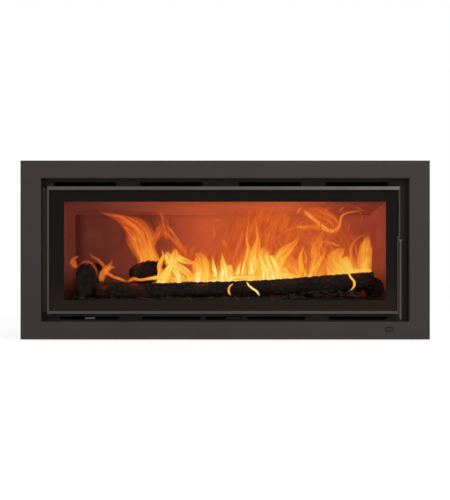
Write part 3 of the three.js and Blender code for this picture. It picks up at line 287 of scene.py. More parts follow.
def firelitBoard(name, glowStops, strength, levels, underside=False, corner=False):
    # Pressed vermiculite fire board: grainy, pale brown, browned by soot, with painted firelight as emission.
    # The painted firelight is strongest behind the middle of the fire and dies away to the left.
    material, tree, shader, where = startMaterial(name, 0.92, 0.0, 0.15)
    axes = addNode(tree, "ShaderNodeSeparateXYZ", {0: where}).outputs
    across = addNode(tree, "ShaderNodeMath", {0: axes[0], 1: 1000}, operation="MULTIPLY")
    wander = addNode(tree, "ShaderNodeMath", {
        0: addNode(tree, "ShaderNodeMath", {
            0: addNode(tree, "ShaderNodeTexNoise", {"Vector": where, "Scale": 500 / 120, "Detail": 3}),
            1: 0.5,
        }, operation="SUBTRACT"),
        1: 90.0,
    }, operation="MULTIPLY")
    share = addNode(tree, "ShaderNodeMapRange", {
        "Value": addNode(tree, "ShaderNodeMath", {0: across, 1: wander}, operation="ADD"),
        "From Min": -455.0,
        "From Max": 455.0,
    })
    glow = addNode(tree, "ShaderNodeValToRGB", {"Fac": share}, stops=glowStops)
    levelMm = addNode(tree, "ShaderNodeMath", {
        0: addNode(tree, "ShaderNodeMath", {0: axes[2], 1: midZ}, operation="SUBTRACT"),
        1: 1000,
    }, operation="MULTIPLY")
    low, high = levels[0][0], levels[-1][0]
    height = addNode(tree, "ShaderNodeMapRange", {
        "Value": levelMm,
        "From Min": float(low),
        "From Max": float(high),
    })
    # How strong the painted firelight is at each height
    fall = addNode(tree, "ShaderNodeValToRGB", {"Fac": height}, stops=[
        ((at - low) / (high - low), value)
        for at, value in levels
    ])
    fine = addNode(tree, "ShaderNodeTexNoise", {
        "Vector": where, "Scale": 500 / 3.5, "Detail": 4, "Roughness": 0.65,
    })
    soot = addNode(tree, "ShaderNodeTexNoise", {
        "Vector": where, "Scale": 500 / 75, "Detail": 5, "Roughness": 0.6,
    })
    mottle = addNode(tree, "ShaderNodeMath", {
        0: addNode(tree, "ShaderNodeMath", {0: fine, 1: 0.3}, operation="MULTIPLY"),
        1: addNode(tree, "ShaderNodeMath", {0: soot, 1: 0.8}, operation="MULTIPLY"),
    }, operation="ADD")
    power = addNode(tree, "ShaderNodeMath", {
        0: addNode(tree, "ShaderNodeMath", {0: mottle, 1: 0.46}, operation="ADD"),
        1: strength,
    }, operation="MULTIPLY")
    power = addNode(tree, "ShaderNodeMath", {0: power, 1: fall}, operation="MULTIPLY")
    # Back boards only: painted shade dims the glow into the back-left corner, and a painted pool of firelight
    # brightens it behind the heart of the fire
    if corner:
        cornerPaintedShade = addNode(tree, "ShaderNodeMapRange", {
            "Value": addNode(tree, "ShaderNodeMath", {
                0: across,
                1: addNode(tree, "ShaderNodeMath", {0: wander, 1: 0.12}, operation="MULTIPLY"),
            }, operation="ADD"),
            "From Min": -424.0,
            "From Max": -388.0,
            "To Min": 0.34,
        }, interpolation_type="SMOOTHSTEP")
        power = addNode(tree, "ShaderNodeMath", {0: power, 1: cornerPaintedShade}, operation="MULTIPLY")
        aside = addNode(tree, "ShaderNodeMath", {
            0: addNode(tree, "ShaderNodeMath", {0: across, 1: fireHeart["x"]}, operation="SUBTRACT"),
            1: fireHeart["width"],
        }, operation="DIVIDE")
        aloft = addNode(tree, "ShaderNodeMath", {
            0: addNode(tree, "ShaderNodeMath", {0: levelMm, 1: fireHeart["level"]}, operation="SUBTRACT"),
            1: fireHeart["height"],
        }, operation="DIVIDE")
        apart = addNode(tree, "ShaderNodeMath", {
            0: addNode(tree, "ShaderNodeMath", {0: aside, 1: aside}, operation="MULTIPLY"),
            1: addNode(tree, "ShaderNodeMath", {0: aloft, 1: aloft}, operation="MULTIPLY"),
        }, operation="ADD")
        flare = addNode(tree, "ShaderNodeMath", {
            0: addNode(tree, "ShaderNodeMath", {
                0: addNode(tree, "ShaderNodeMath", {0: apart, 1: -1.0}, operation="MULTIPLY"),
            }, operation="EXPONENT"),
            1: fireHeart["gain"],
        }, operation="MULTIPLY")
        power = addNode(tree, "ShaderNodeMath", {
            0: power,
            1: addNode(tree, "ShaderNodeMath", {0: flare, 1: 1.0}, operation="ADD"),
        }, operation="MULTIPLY")
    # Only the faces turned down towards the fire get the painted firelight
    if underside:
        normal = addNode(tree, "ShaderNodeTexCoord").outputs["Normal"]
        facing = addNode(tree, "ShaderNodeSeparateXYZ", {0: normal}).outputs[2]
        power = addNode(tree, "ShaderNodeMath", {
            0: power,
            1: addNode(tree, "ShaderNodeMath", {0: facing, 1: 0.2}, operation="LESS_THAN"),
        }, operation="MULTIPLY")
    # The backs get no firelight
    inside = addNode(tree, "ShaderNodeMath", {
        0: axes[1], 1: faceY + (litDepth["baffle"] if underside else litDepth["boards"]),
    }, operation="LESS_THAN")
    power = addNode(tree, "ShaderNodeMath", {0: power, 1: inside}, operation="MULTIPLY")
    setInputs(tree, shader, {
        "Emission Color": glow,
        "Emission Strength": power,
        "Base Color": addNode(tree, "ShaderNodeValToRGB", {"Fac": soot}, stops=[
            (0.3, "#2a201a"), (0.7, "#4a3a2d"),
        ]),
        "Normal": addNode(tree, "ShaderNodeBump", {"Height": fine, "Distance": 0.0008, "Strength": 0.5}),
    })
    return material


# How far behind the face of the surround the firelight reaches, in metres
litDepth = {"boards": 0.3205, "baffle": 0.345}

# Colours of the firelit boards from the left end of the chamber to the right one, matched to the photo;
# the first value is the share of the width
# These are colours of painted firelight, given to the boards as emission
boardGlow = [
    (0.03, "#64281f"), (0.12, "#59241b"), (0.27, "#78301e"), (0.36, "#a23f25"),
    (0.52, "#c0512a"), (0.66, "#cd5c2c"), (0.80, "#a04226"), (0.95, "#943925"),
]
# Where the painted firelight on the back boards is strongest, in mm, and by how much
fireHeart = {"x": 90.0, "width": 230.0, "level": -20.0, "height": 110.0, "gain": 0.28}
# The same for the painted firelight on the baffle
ceilingGlow = [
    (0.03, "#5c241c"), (0.12, "#63281f"), (0.24, "#7d3321"), (0.38, "#b04828"),
    (0.56, "#bd4f2a"), (0.70, "#c4532b"), (0.82, "#8e3622"), (0.95, "#742b1f"),
]


def charredWood():
    # Oak log burnt to char: velvety black, cracked into blocks 15 to 25 mm across, glowing in its cracks
    material, tree, shader, where = startMaterial("charred log", 0.88, 0.0, 0.2)
    crack = addNode(tree, "ShaderNodeAttribute", attribute_name="barkCrack").outputs["Fac"]
    # The crack glow is stronger on the log's top, which faces the flames: painted firelight on the embers'
    # own glow
    fire = addNode(tree, "ShaderNodeAttribute", attribute_name="burnAndTopFirelight").outputs["Fac"]
    fine = addNode(tree, "ShaderNodeTexNoise", {
        "Vector": where, "Scale": 500 / 3, "Detail": 4, "Roughness": 0.6,
    })
    tone = addNode(tree, "ShaderNodeMath", {
        0: addNode(tree, "ShaderNodeMath", {0: crack, 1: 0.65}, operation="MULTIPLY"),
        1: addNode(tree, "ShaderNodeMath", {0: fine, 1: 0.4}, operation="MULTIPLY"),
    }, operation="ADD")
    patch = addNode(tree, "ShaderNodeValToRGB", {
        "Fac": addNode(tree, "ShaderNodeTexNoise", {"Vector": where, "Scale": 500 / 26, "Detail": 3}),
    }, stops=[(0.46, 0.0), (0.66, 1.0)])
    gap = addNode(tree, "ShaderNodeMath", {0: 1.0, 1: crack}, operation="SUBTRACT")
    ember = addNode(tree, "ShaderNodeMath", {
        0: addNode(tree, "ShaderNodeMath", {0: gap, 1: 2.5}, operation="POWER"),
        1: addNode(tree, "ShaderNodeMath", {0: fire, 1: patch}, operation="MULTIPLY"),
    }, operation="MULTIPLY")
    setInputs(tree, shader, {
        "Base Color": addNode(tree, "ShaderNodeValToRGB", {"Fac": tone}, stops=[
            (0.15, "#090605"), (0.5, "#150e0a"), (0.85, "#271a13"),
        ]),
        "Emission Color": addNode(tree, "ShaderNodeValToRGB", {"Fac": ember}, stops=[
            (0.0, "#2a0d05"), (0.3, "#a8330f"), (0.7, "#f08a35"), (1.0, "#ffd27a"),
        ]),
        "Emission Strength": addNode(tree, "ShaderNodeMath", {0: ember, 1: 1.2}, operation="MULTIPLY"),
        "Normal": addNode(tree, "ShaderNodeBump", {"Height": fine, "Distance": 0.0008, "Strength": 0.7}),
    })
    return material


def emberAsh():
    # Wood embers and ash: grey-black lumps with a red-hot core that shows where they touch
    material, tree, shader, where = startMaterial("embers and ash", 0.95, 0.0, 0.15)
    lumps = addNode(tree, "ShaderNodeTexNoise", {
        "Vector": where, "Scale": 500 / 7, "Detail": 4, "Roughness": 0.6,
    })
    hot = addNode(tree, "ShaderNodeValToRGB", {
        "Fac": addNode(tree, "ShaderNodeTexNoise", {
            "Vector": where, "Scale": 500 / 38, "Detail": 4, "Roughness": 0.6,
        }),
    }, stops=[(0.47, 0.0), (0.68, 1.0)])
    axes = addNode(tree, "ShaderNodeSeparateXYZ", {0: where}).outputs
    # The glow is dimmed at the front, under the log, towards the right and at the left end: painted shade
    deep = addNode(tree, "ShaderNodeMapRange", {
        "Value": axes[1], "From Min": faceY + 0.095, "From Max": faceY + 0.15, "To Min": 0.22,
    })
    ends = addNode(tree, "ShaderNodeMapRange", {
        "Value": axes[0], "From Min": 0.1, "From Max": 0.26, "To Min": 1.0, "To Max": 0.05,
    })
    leftEnd = addNode(tree, "ShaderNodeMapRange", {
        "Value": axes[0], "From Min": -0.37, "From Max": -0.32, "To Min": 0.12, "To Max": 1.0,
    })
    paintedBedShade = addNode(tree, "ShaderNodeMath", {
        0: addNode(tree, "ShaderNodeMath", {0: deep, 1: ends}, operation="MULTIPLY"),
        1: leftEnd,
    }, operation="MULTIPLY")
    heat = addNode(tree, "ShaderNodeMath", {
        0: addNode(tree, "ShaderNodeMath", {0: hot, 1: paintedBedShade}, operation="MULTIPLY"),
        1: addNode(tree, "ShaderNodeMath", {0: lumps, 1: 0.2}, operation="ADD"),
    }, operation="MULTIPLY")
    setInputs(tree, shader, {
        "Base Color": addNode(tree, "ShaderNodeValToRGB", {"Fac": lumps}, stops=[
            (0.25, "#120d0b"), (0.55, "#2b211d"), (0.8, "#544843"),
        ]),
        "Emission Color": addNode(tree, "ShaderNodeValToRGB", {"Fac": heat}, stops=[
            (0.0, "#1c0803"), (0.35, "#8c2a10"), (0.8, "#e8782e"),
        ]),
        "Emission Strength": addNode(tree, "ShaderNodeMath", {0: heat, 1: 1.0}, operation="MULTIPLY"),
        "Normal": addNode(tree, "ShaderNodeBump", {"Height": lumps, "Distance": 0.002, "Strength": 0.7}),
    })
    return material


# The satin face inside the badge's black rim, in metres
badgeFace = {"x": 0.4205, "z": 0.0287, "halfWidth": 0.0074, "halfHeight": 0.0026}


def darkAnodised():
    # Anodised aluminium plate, dark, satin, left blank
    material, tree, shader, where = startMaterial("dark anodised aluminium", 0.4, 0.6)
    lines = addNode(tree, "ShaderNodeTexNoise", {
        "Vector": addNode(tree, "ShaderNodeMapping", {"Vector": where, "Scale": (0.05, 1, 1)}),
        "Scale": 500 / 0.6,
    })
    axes = addNode(tree, "ShaderNodeSeparateXYZ", {0: where}).outputs
    fromMiddle = [
        addNode(tree, "ShaderNodeMath", {
            0: addNode(tree, "ShaderNodeMath", {0: axes[i], 1: badgeFace[key]}, operation="SUBTRACT"),
        }, operation="ABSOLUTE")
        for i, key in ((0, "x"), (2, "z"))
    ]
    past = addNode(tree, "ShaderNodeMath", {
        0: addNode(tree, "ShaderNodeMath", {
            0: fromMiddle[0], 1: badgeFace["halfWidth"],
        }, operation="SUBTRACT"),
        1: addNode(tree, "ShaderNodeMath", {
            0: fromMiddle[1], 1: badgeFace["halfHeight"],
        }, operation="SUBTRACT"),
    }, operation="MAXIMUM")
    face = addNode(tree, "ShaderNodeMapRange", {"Value": past, "From Min": 0.0003, "From Max": -0.0003})
    tone = addNode(tree, "ShaderNodeMath", {
        0: addNode(tree, "ShaderNodeMath", {0: lines, 1: 0.3}, operation="MULTIPLY"),
        1: addNode(tree, "ShaderNodeMath", {0: face, 1: 0.6}, operation="MULTIPLY"),
    }, operation="ADD")
    setInputs(tree, shader, {
        "Base Color": addNode(tree, "ShaderNodeValToRGB", {"Fac": tone}, stops=[
            (0.1, "#090807"), (0.3, "#0e0c0b"), (0.7, "#2c2826"), (0.9, "#36322f"),
        ]),
        "Normal": addNode(tree, "ShaderNodeBump", {"Height": lines, "Distance": 0.00003, "Strength": 0.4}),
    })
    return material


def flameLight():
    # Wood flame: thin burning gas, orange where it is cool and yellow-white where it is hot, soft and
    # streaked along its flow
    material, tree, shader, where = startMaterial("wood flame", 1.0, 0.0, 0.0)
    heat, density, rim, side = [
        addNode(tree, "ShaderNodeAttribute", attribute_name=name).outputs["Fac"]
        for name in ("flameHeat", "flameBody", "flameRim", "flameSide")
    ]
    along = addNode(tree, "ShaderNodeUVMap", uv_map="flow")
    longWay = addNode(tree, "ShaderNodeMapping", {"Vector": along, "Scale": (1.0, 0.32, 1.0)})
    thinWay = addNode(tree, "ShaderNodeMapping", {"Vector": along, "Scale": (1.1, 0.5, 1.0)})
    broad = addNode(tree, "ShaderNodeTexNoise", {
        "Vector": longWay, "Scale": 1.0, "Detail": 2.0, "Roughness": 0.5, "Distortion": 0.9,
    })
    thin = addNode(tree, "ShaderNodeTexNoise", {
        "Vector": thinWay, "Scale": 1.0, "Detail": 1.5, "Roughness": 0.5, "Distortion": 1.6,
    })
    off = addNode(tree, "ShaderNodeMath", {0: side}, operation="ABSOLUTE")
    ragged = addNode(tree, "ShaderNodeMath", {
        0: off,
        1: addNode(tree, "ShaderNodeMath", {
            0: addNode(tree, "ShaderNodeMath", {0: broad, 1: 0.5}, operation="SUBTRACT"),
            1: 0.6,
        }, operation="MULTIPLY"),
    }, operation="ADD")
    body = addNode(tree, "ShaderNodeMapRange", {
        "Value": ragged, "From Min": 0.96, "From Max": 0.42, "To Min": 0.0, "To Max": 1.0,
    }, interpolation_type="SMOOTHSTEP")
    inEdge = addNode(tree, "ShaderNodeMapRange", {
        "Value": off, "From Min": 1.0, "From Max": 0.8,
    }, interpolation_type="SMOOTHSTEP")
    nearRim = addNode(tree, "ShaderNodeMath", {
        0: addNode(tree, "ShaderNodeMath", {0: ragged, 1: 0.62}, operation="SUBTRACT"),
    }, operation="ABSOLUTE")
    edge = addNode(tree, "ShaderNodeMapRange", {
        "Value": nearRim, "From Min": 0.13, "From Max": 0.0, "To Min": 0.0, "To Max": 1.0,
    }, interpolation_type="SMOOTHSTEP")
    line = addNode(tree, "ShaderNodeMath", {0: edge, 1: rim}, operation="MULTIPLY")
    hollow = addNode(tree, "ShaderNodeMath", {
        0: 1.0,
        1: addNode(tree, "ShaderNodeMath", {0: rim, 1: 0.5}, operation="MULTIPLY"),
    }, operation="SUBTRACT")
    thick = addNode(tree, "ShaderNodeMath", {
        0: addNode(tree, "ShaderNodeMath", {0: body, 1: hollow}, operation="MULTIPLY"),
        1: line,
    }, operation="MAXIMUM")
    strand = addNode(tree, "ShaderNodeMapRange", {
        "Value": thin, "From Min": 0.34, "From Max": 0.64, "To Min": 0.0, "To Max": 1.0,
    }, interpolation_type="SMOOTHSTEP")
    wisp = addNode(tree, "ShaderNodeMath", {
        0: addNode(tree, "ShaderNodeMath", {0: strand, 1: 0.16}, operation="MULTIPLY"),
        1: 0.84,
    }, operation="ADD")
    full = addNode(tree, "ShaderNodeMath", {
        0: addNode(tree, "ShaderNodeMath", {0: thick, 1: density}, operation="MULTIPLY"),
        1: wisp,
    }, operation="MULTIPLY")
    alpha = addNode(tree, "ShaderNodeMath", {0: full, 1: inEdge}, operation="MULTIPLY", use_clamp=True)
    warm = addNode(tree, "ShaderNodeMath", {
        0: heat,
        1: addNode(tree, "ShaderNodeMath", {
            0: addNode(tree, "ShaderNodeMath", {0: strand, 1: 0.5}, operation="SUBTRACT"),
            1: 0.15,
        }, operation="MULTIPLY"),
    }, operation="ADD")
    warm = addNode(tree, "ShaderNodeMath", {
        0: warm,
        1: addNode(tree, "ShaderNodeMath", {
            0: addNode(tree, "ShaderNodeMath", {0: broad, 1: 0.5}, operation="SUBTRACT"),
            1: 0.55,
        }, operation="MULTIPLY"),
    }, operation="ADD")
    warm = addNode(tree, "ShaderNodeMath", {
        0: warm,
        1: addNode(tree, "ShaderNodeMath", {0: line, 1: 0.12}, operation="MULTIPLY"),
    }, operation="ADD")
    warm = addNode(tree, "ShaderNodeMath", {
        0: warm,
        1: addNode(tree, "ShaderNodeMath", {
            0: addNode(tree, "ShaderNodeMath", {0: body, 1: 0.5}, operation="MULTIPLY"),
            1: 0.5,
        }, operation="ADD"),
    }, operation="MULTIPLY", use_clamp=True)
    setInputs(tree, shader, {
        "Alpha": alpha,
        "Emission Color": addNode(tree, "ShaderNodeValToRGB", {"Fac": warm}, stops=flameColors),
        "Emission Strength": 1.0,
        "Base Color": (0.0, 0.0, 0.0, 1.0),
    })
    return material


def fireVeil(name, filaments):
    # Wood fire seen through itself: a sheet of burning gas, whitish yellow where it leaves the log and orange
    # higher up, drawn out into thin bright threads; filaments says how much of it is threads
    material, tree, shader, where = startMaterial(name, 1.0, 0.0, 0.0)
    rise = addNode(tree, "ShaderNodeAttribute", attribute_name="flameHeat").outputs["Fac"]
    density = addNode(tree, "ShaderNodeAttribute", attribute_name="flameBody").outputs["Fac"]
    tall = addNode(tree, "ShaderNodeMapping", {
        "Vector": where, "Scale": (20.0, 6.0, 11.0), "Rotation": (0.0, 0.2, 0.0),
    })
    slim = addNode(tree, "ShaderNodeMapping", {
        "Vector": where, "Scale": (32.0, 9.0, 17.0), "Rotation": (0.0, -0.16, 0.0),
    })
    shape = addNode(tree, "ShaderNodeTexNoise", {
        "Vector": tall, "Scale": 1.0, "Detail": 2.5, "Roughness": 0.5, "Distortion": 1.9,
    })
    thread = addNode(tree, "ShaderNodeTexNoise", {
        "Vector": slim, "Scale": 1.0, "Detail": 2.0, "Roughness": 0.45, "Distortion": 2.2,
    })
    fromShape = addNode(tree, "ShaderNodeMath", {
        0: addNode(tree, "ShaderNodeMath", {0: shape, 1: 0.5}, operation="SUBTRACT"),
    }, operation="ABSOLUTE")
    fromThread = addNode(tree, "ShaderNodeMath", {
        0: addNode(tree, "ShaderNodeMath", {0: thread, 1: 0.5}, operation="SUBTRACT"),
    }, operation="ABSOLUTE")
    outline = addNode(tree, "ShaderNodeMapRange", {
        "Value": fromShape, "From Min": 0.05, "From Max": 0.0,
    }, interpolation_type="SMOOTHSTEP")
    fine = addNode(tree, "ShaderNodeMapRange", {
        "Value": fromThread, "From Min": 0.045, "From Max": 0.0,
    }, interpolation_type="SMOOTHSTEP")
    lines = addNode(tree, "ShaderNodeMath", {
        0: outline,
        1: addNode(tree, "ShaderNodeMath", {0: fine, 1: 0.75}, operation="MULTIPLY"),
    }, operation="MAXIMUM")
    inside = addNode(tree, "ShaderNodeMapRange", {
        "Value": shape, "From Min": 0.47, "From Max": 0.60,
    }, interpolation_type="SMOOTHSTEP")
    ragged = addNode(tree, "ShaderNodeMath", {
        0: rise,
        1: addNode(tree, "ShaderNodeMath", {
            0: addNode(tree, "ShaderNodeMath", {0: shape, 1: 0.46}, operation="SUBTRACT"),
            1: 2.0,
        }, operation="MULTIPLY"),
    }, operation="SUBTRACT")
    mask = addNode(tree, "ShaderNodeMapRange", {
        "Value": ragged, "From Min": 1.0, "From Max": 0.3,
    }, interpolation_type="SMOOTHSTEP")
    low = addNode(tree, "ShaderNodeMapRange", {
        "Value": rise, "From Min": 0.4, "From Max": 0.08,
    }, interpolation_type="SMOOTHSTEP")
    mass = addNode(tree, "ShaderNodeMath", {
        0: addNode(tree, "ShaderNodeMath", {0: inside, 1: 0.7}, operation="MULTIPLY"),
        1: addNode(tree, "ShaderNodeMath", {0: low, 1: 0.95}, operation="MULTIPLY"),
    }, operation="MAXIMUM")
    mass = addNode(tree, "ShaderNodeMath", {0: mass, 1: 1.0 - filaments}, operation="MULTIPLY")
    threads = addNode(tree, "ShaderNodeMath", {0: lines, 1: 0.35 + 0.5 * filaments}, operation="MULTIPLY")
    fill = addNode(tree, "ShaderNodeMath", {
        0: addNode(tree, "ShaderNodeMath", {0: mass, 1: threads}, operation="ADD"),
        1: 0.04,
    }, operation="ADD")
    fading = addNode(tree, "ShaderNodeMapRange", {"Value": rise, "From Min": 1.3, "From Max": 1.0})
    full = addNode(tree, "ShaderNodeMath", {
        0: addNode(tree, "ShaderNodeMath", {0: fill, 1: mask}, operation="MULTIPLY"),
        1: density,
    }, operation="MULTIPLY")
    higher = addNode(tree, "ShaderNodeMath", {0: rise, 1: 0.5 - 0.25 * filaments}, operation="MULTIPLY")
    outer = addNode(tree, "ShaderNodeMath", {
        0: addNode(tree, "ShaderNodeMath", {0: ragged, 1: 0.0}, operation="MAXIMUM"),
        1: 0.22,
    }, operation="MULTIPLY")
    hot = addNode(tree, "ShaderNodeMath", {
        0: addNode(tree, "ShaderNodeMath", {0: 0.8 - 0.28 * filaments, 1: higher}, operation="SUBTRACT"),
        1: outer,
    }, operation="SUBTRACT")
    hot = addNode(tree, "ShaderNodeMath", {
        0: hot,
        1: addNode(tree, "ShaderNodeMath", {0: lines, 1: 0.1}, operation="MULTIPLY"),
    }, operation="ADD")
    setInputs(tree, shader, {
        "Alpha": addNode(
            tree, "ShaderNodeMath", {0: full, 1: fading}, operation="MULTIPLY", use_clamp=True,
        ),
        "Emission Color": addNode(tree, "ShaderNodeValToRGB", {"Fac": hot}, stops=flameColors),
        "Emission Strength": 1.0,
        "Base Color": (0.0, 0.0, 0.0, 1.0),
    })
    return material


flameColors = [
    (0.0, "#8a2c14"), (0.16, "#b8461e"), (0.32, "#dd6227"), (0.48, "#f4832f"), (0.64, "#ffa334"),
    (0.76, "#ffc043"), (0.86, "#ffdc66"), (0.94, "#fff0a4"), (1.0, "#fffad2"),
]
window = {"left": -415.0, "right": 414.6, "low": -128.6, "high": 124.3}  # clear part of the glass, mm

surroundPaint = stovePaint("matt stove paint, surround", "#302a29", "#373130")
# A darker copy of the stove paint for the parts in the recess: painted shade
recessShadedPaint = stovePaint("matt stove paint, recessed front, painted shade", "#27221e", "#2f2a25", 0.6, 0.15)
# A lighter copy of the stove paint for the left cheek: painted light, as cast from the right
leftCheekLitPaint = stovePaint("matt stove paint, left cheek, painted light", "#4a443e", "#544d46", 0.6, 0.15)
# The door's copy is satin, as the door is, and lighter than the surround: painted highlight on its sloped
# trim
doorPaintWithHighlight = stovePaint("satin stove paint, door, painted highlight", "#3e3935", "#48423e", 0.42, 0.45)

# How strong the painted firelight on the boards is at each level, in mm above the middle height
# The back and side boards fade low down: painted shade behind the logs
glowLevels = {
    "back": ((-150, 0.02), (-118, 0.06), (-98, 0.4), (-70, 0.92), (-10, 1.0), (85, 0.98), (104, 0.8)),
    "side": ((-150, 0.03), (-112, 0.1), (-86, 0.4), (-50, 0.9), (104, 1.0), (135, 0.8)),
    "ceiling": ((90, 1.0), (104, 1.0), (118, 1.02), (130, 0.9)),
    "hearth": ((-166, 0.1), (-140.5, 0.8), (-140, 1.0), (-139, 1.0)),
}
backBoards = firelitBoard("vermiculite back board", boardGlow, 1.0, glowLevels["back"], corner=True)
sideBoards = firelitBoard("vermiculite side board", boardGlow, 1.0, glowLevels["side"])
ceilingBoard = firelitBoard("vermiculite baffle", ceilingGlow, 1.0, glowLevels["ceiling"], underside=True)
hearthBoard = firelitBoard("vermiculite hearth", boardGlow, 0.07, glowLevels["hearth"])

galvanised = galvanisedSheet()
plate = weldedPlate()
zincPlated = zincPlatedSteel()
charred = charredWood()
embers = emberAsh()
flame = flameLight()
veilLow = fireVeil("wood fire on the log", 0.0)
veilHigh = fireVeil("wood fire, high wisps", 0.8)

finishes = [
    ("surround_frame", surroundPaint), ("badge_plate", darkAnodised()),
    ("upper_slot_strip", recessShadedPaint), ("lower_slot_strip", recessShadedPaint),
    ("left_cheek", leftCheekLitPaint), ("right_cheek", recessShadedPaint), ("centre_air_tip", recessShadedPaint),
    ("door_frame", doorPaintWithHighlight), ("handle_lever", doorPaintWithHighlight),
    ("door_glass", printedGlass(window)),
    ("glass_gasket", glassTape()), ("door_rope_seal", braidedRope()),
    ("left_air_tip", brushedSteel()), ("hinge_", recessShadedPaint), ("handle_pivot_pin", doorPaintWithHighlight),
    ("latch_keeper", recessShadedPaint),
    ("levelling_foot", zincPlated), ("casing_", galvanised), ("surround_bracket", galvanised),
    ("firebox_bearer", galvanised), ("baffle", ceilingBoard), ("hearth_board", hearthBoard),
    ("side_liner", sideBoards), ("back_board", backBoards), ("ember_bed", embers), ("log_", charred),
    ("", plate),
]
for name, node in nodes.items():
    material = next(look for start, look in finishes if name.startswith(start))
    node.data.materials.clear()
    node.data.materials.append(material)
print("finishes on the CAD nodes")


def meshPiece(name, points, faces, material, body, smooth=True):
    mesh = bpy.data.meshes.new(name)
    mesh.from_pydata([tuple(p) for p in points], [], faces)
    mesh.materials.append(material)
    if smooth:
        mesh.shade_smooth()
    mesh.update()
    piece = bpy.data.objects.new(name, mesh)
    scene.collection.objects.link(piece)
    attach(piece, body)
    return piece


def writeAttribute(mesh, name, values):
    mesh.attributes.new(name, "FLOAT", "POINT").data.foreach_set("value", values)


def curveThrough(points, steps):
    # Catmull-Rom curve through rows of numbers
    rows = [points[0], *points, points[-1]]
    made = []
    for index in range(1, len(rows) - 2):
        p0, p1, p2, p3 = rows[index - 1:index + 3]
        for step in range(steps):
            t = step / steps
            made.append([
                0.5 * (
                    2 * b + (c - a) * t + (2 * a - 5 * b + 4 * c - d) * t * t
                    + (3 * b - a - 3 * c + d) * t ** 3
                )
                for a, b, c, d in zip(p0, p1, p2, p3)
            ])
    made.append(list(points[-1]))
    return made
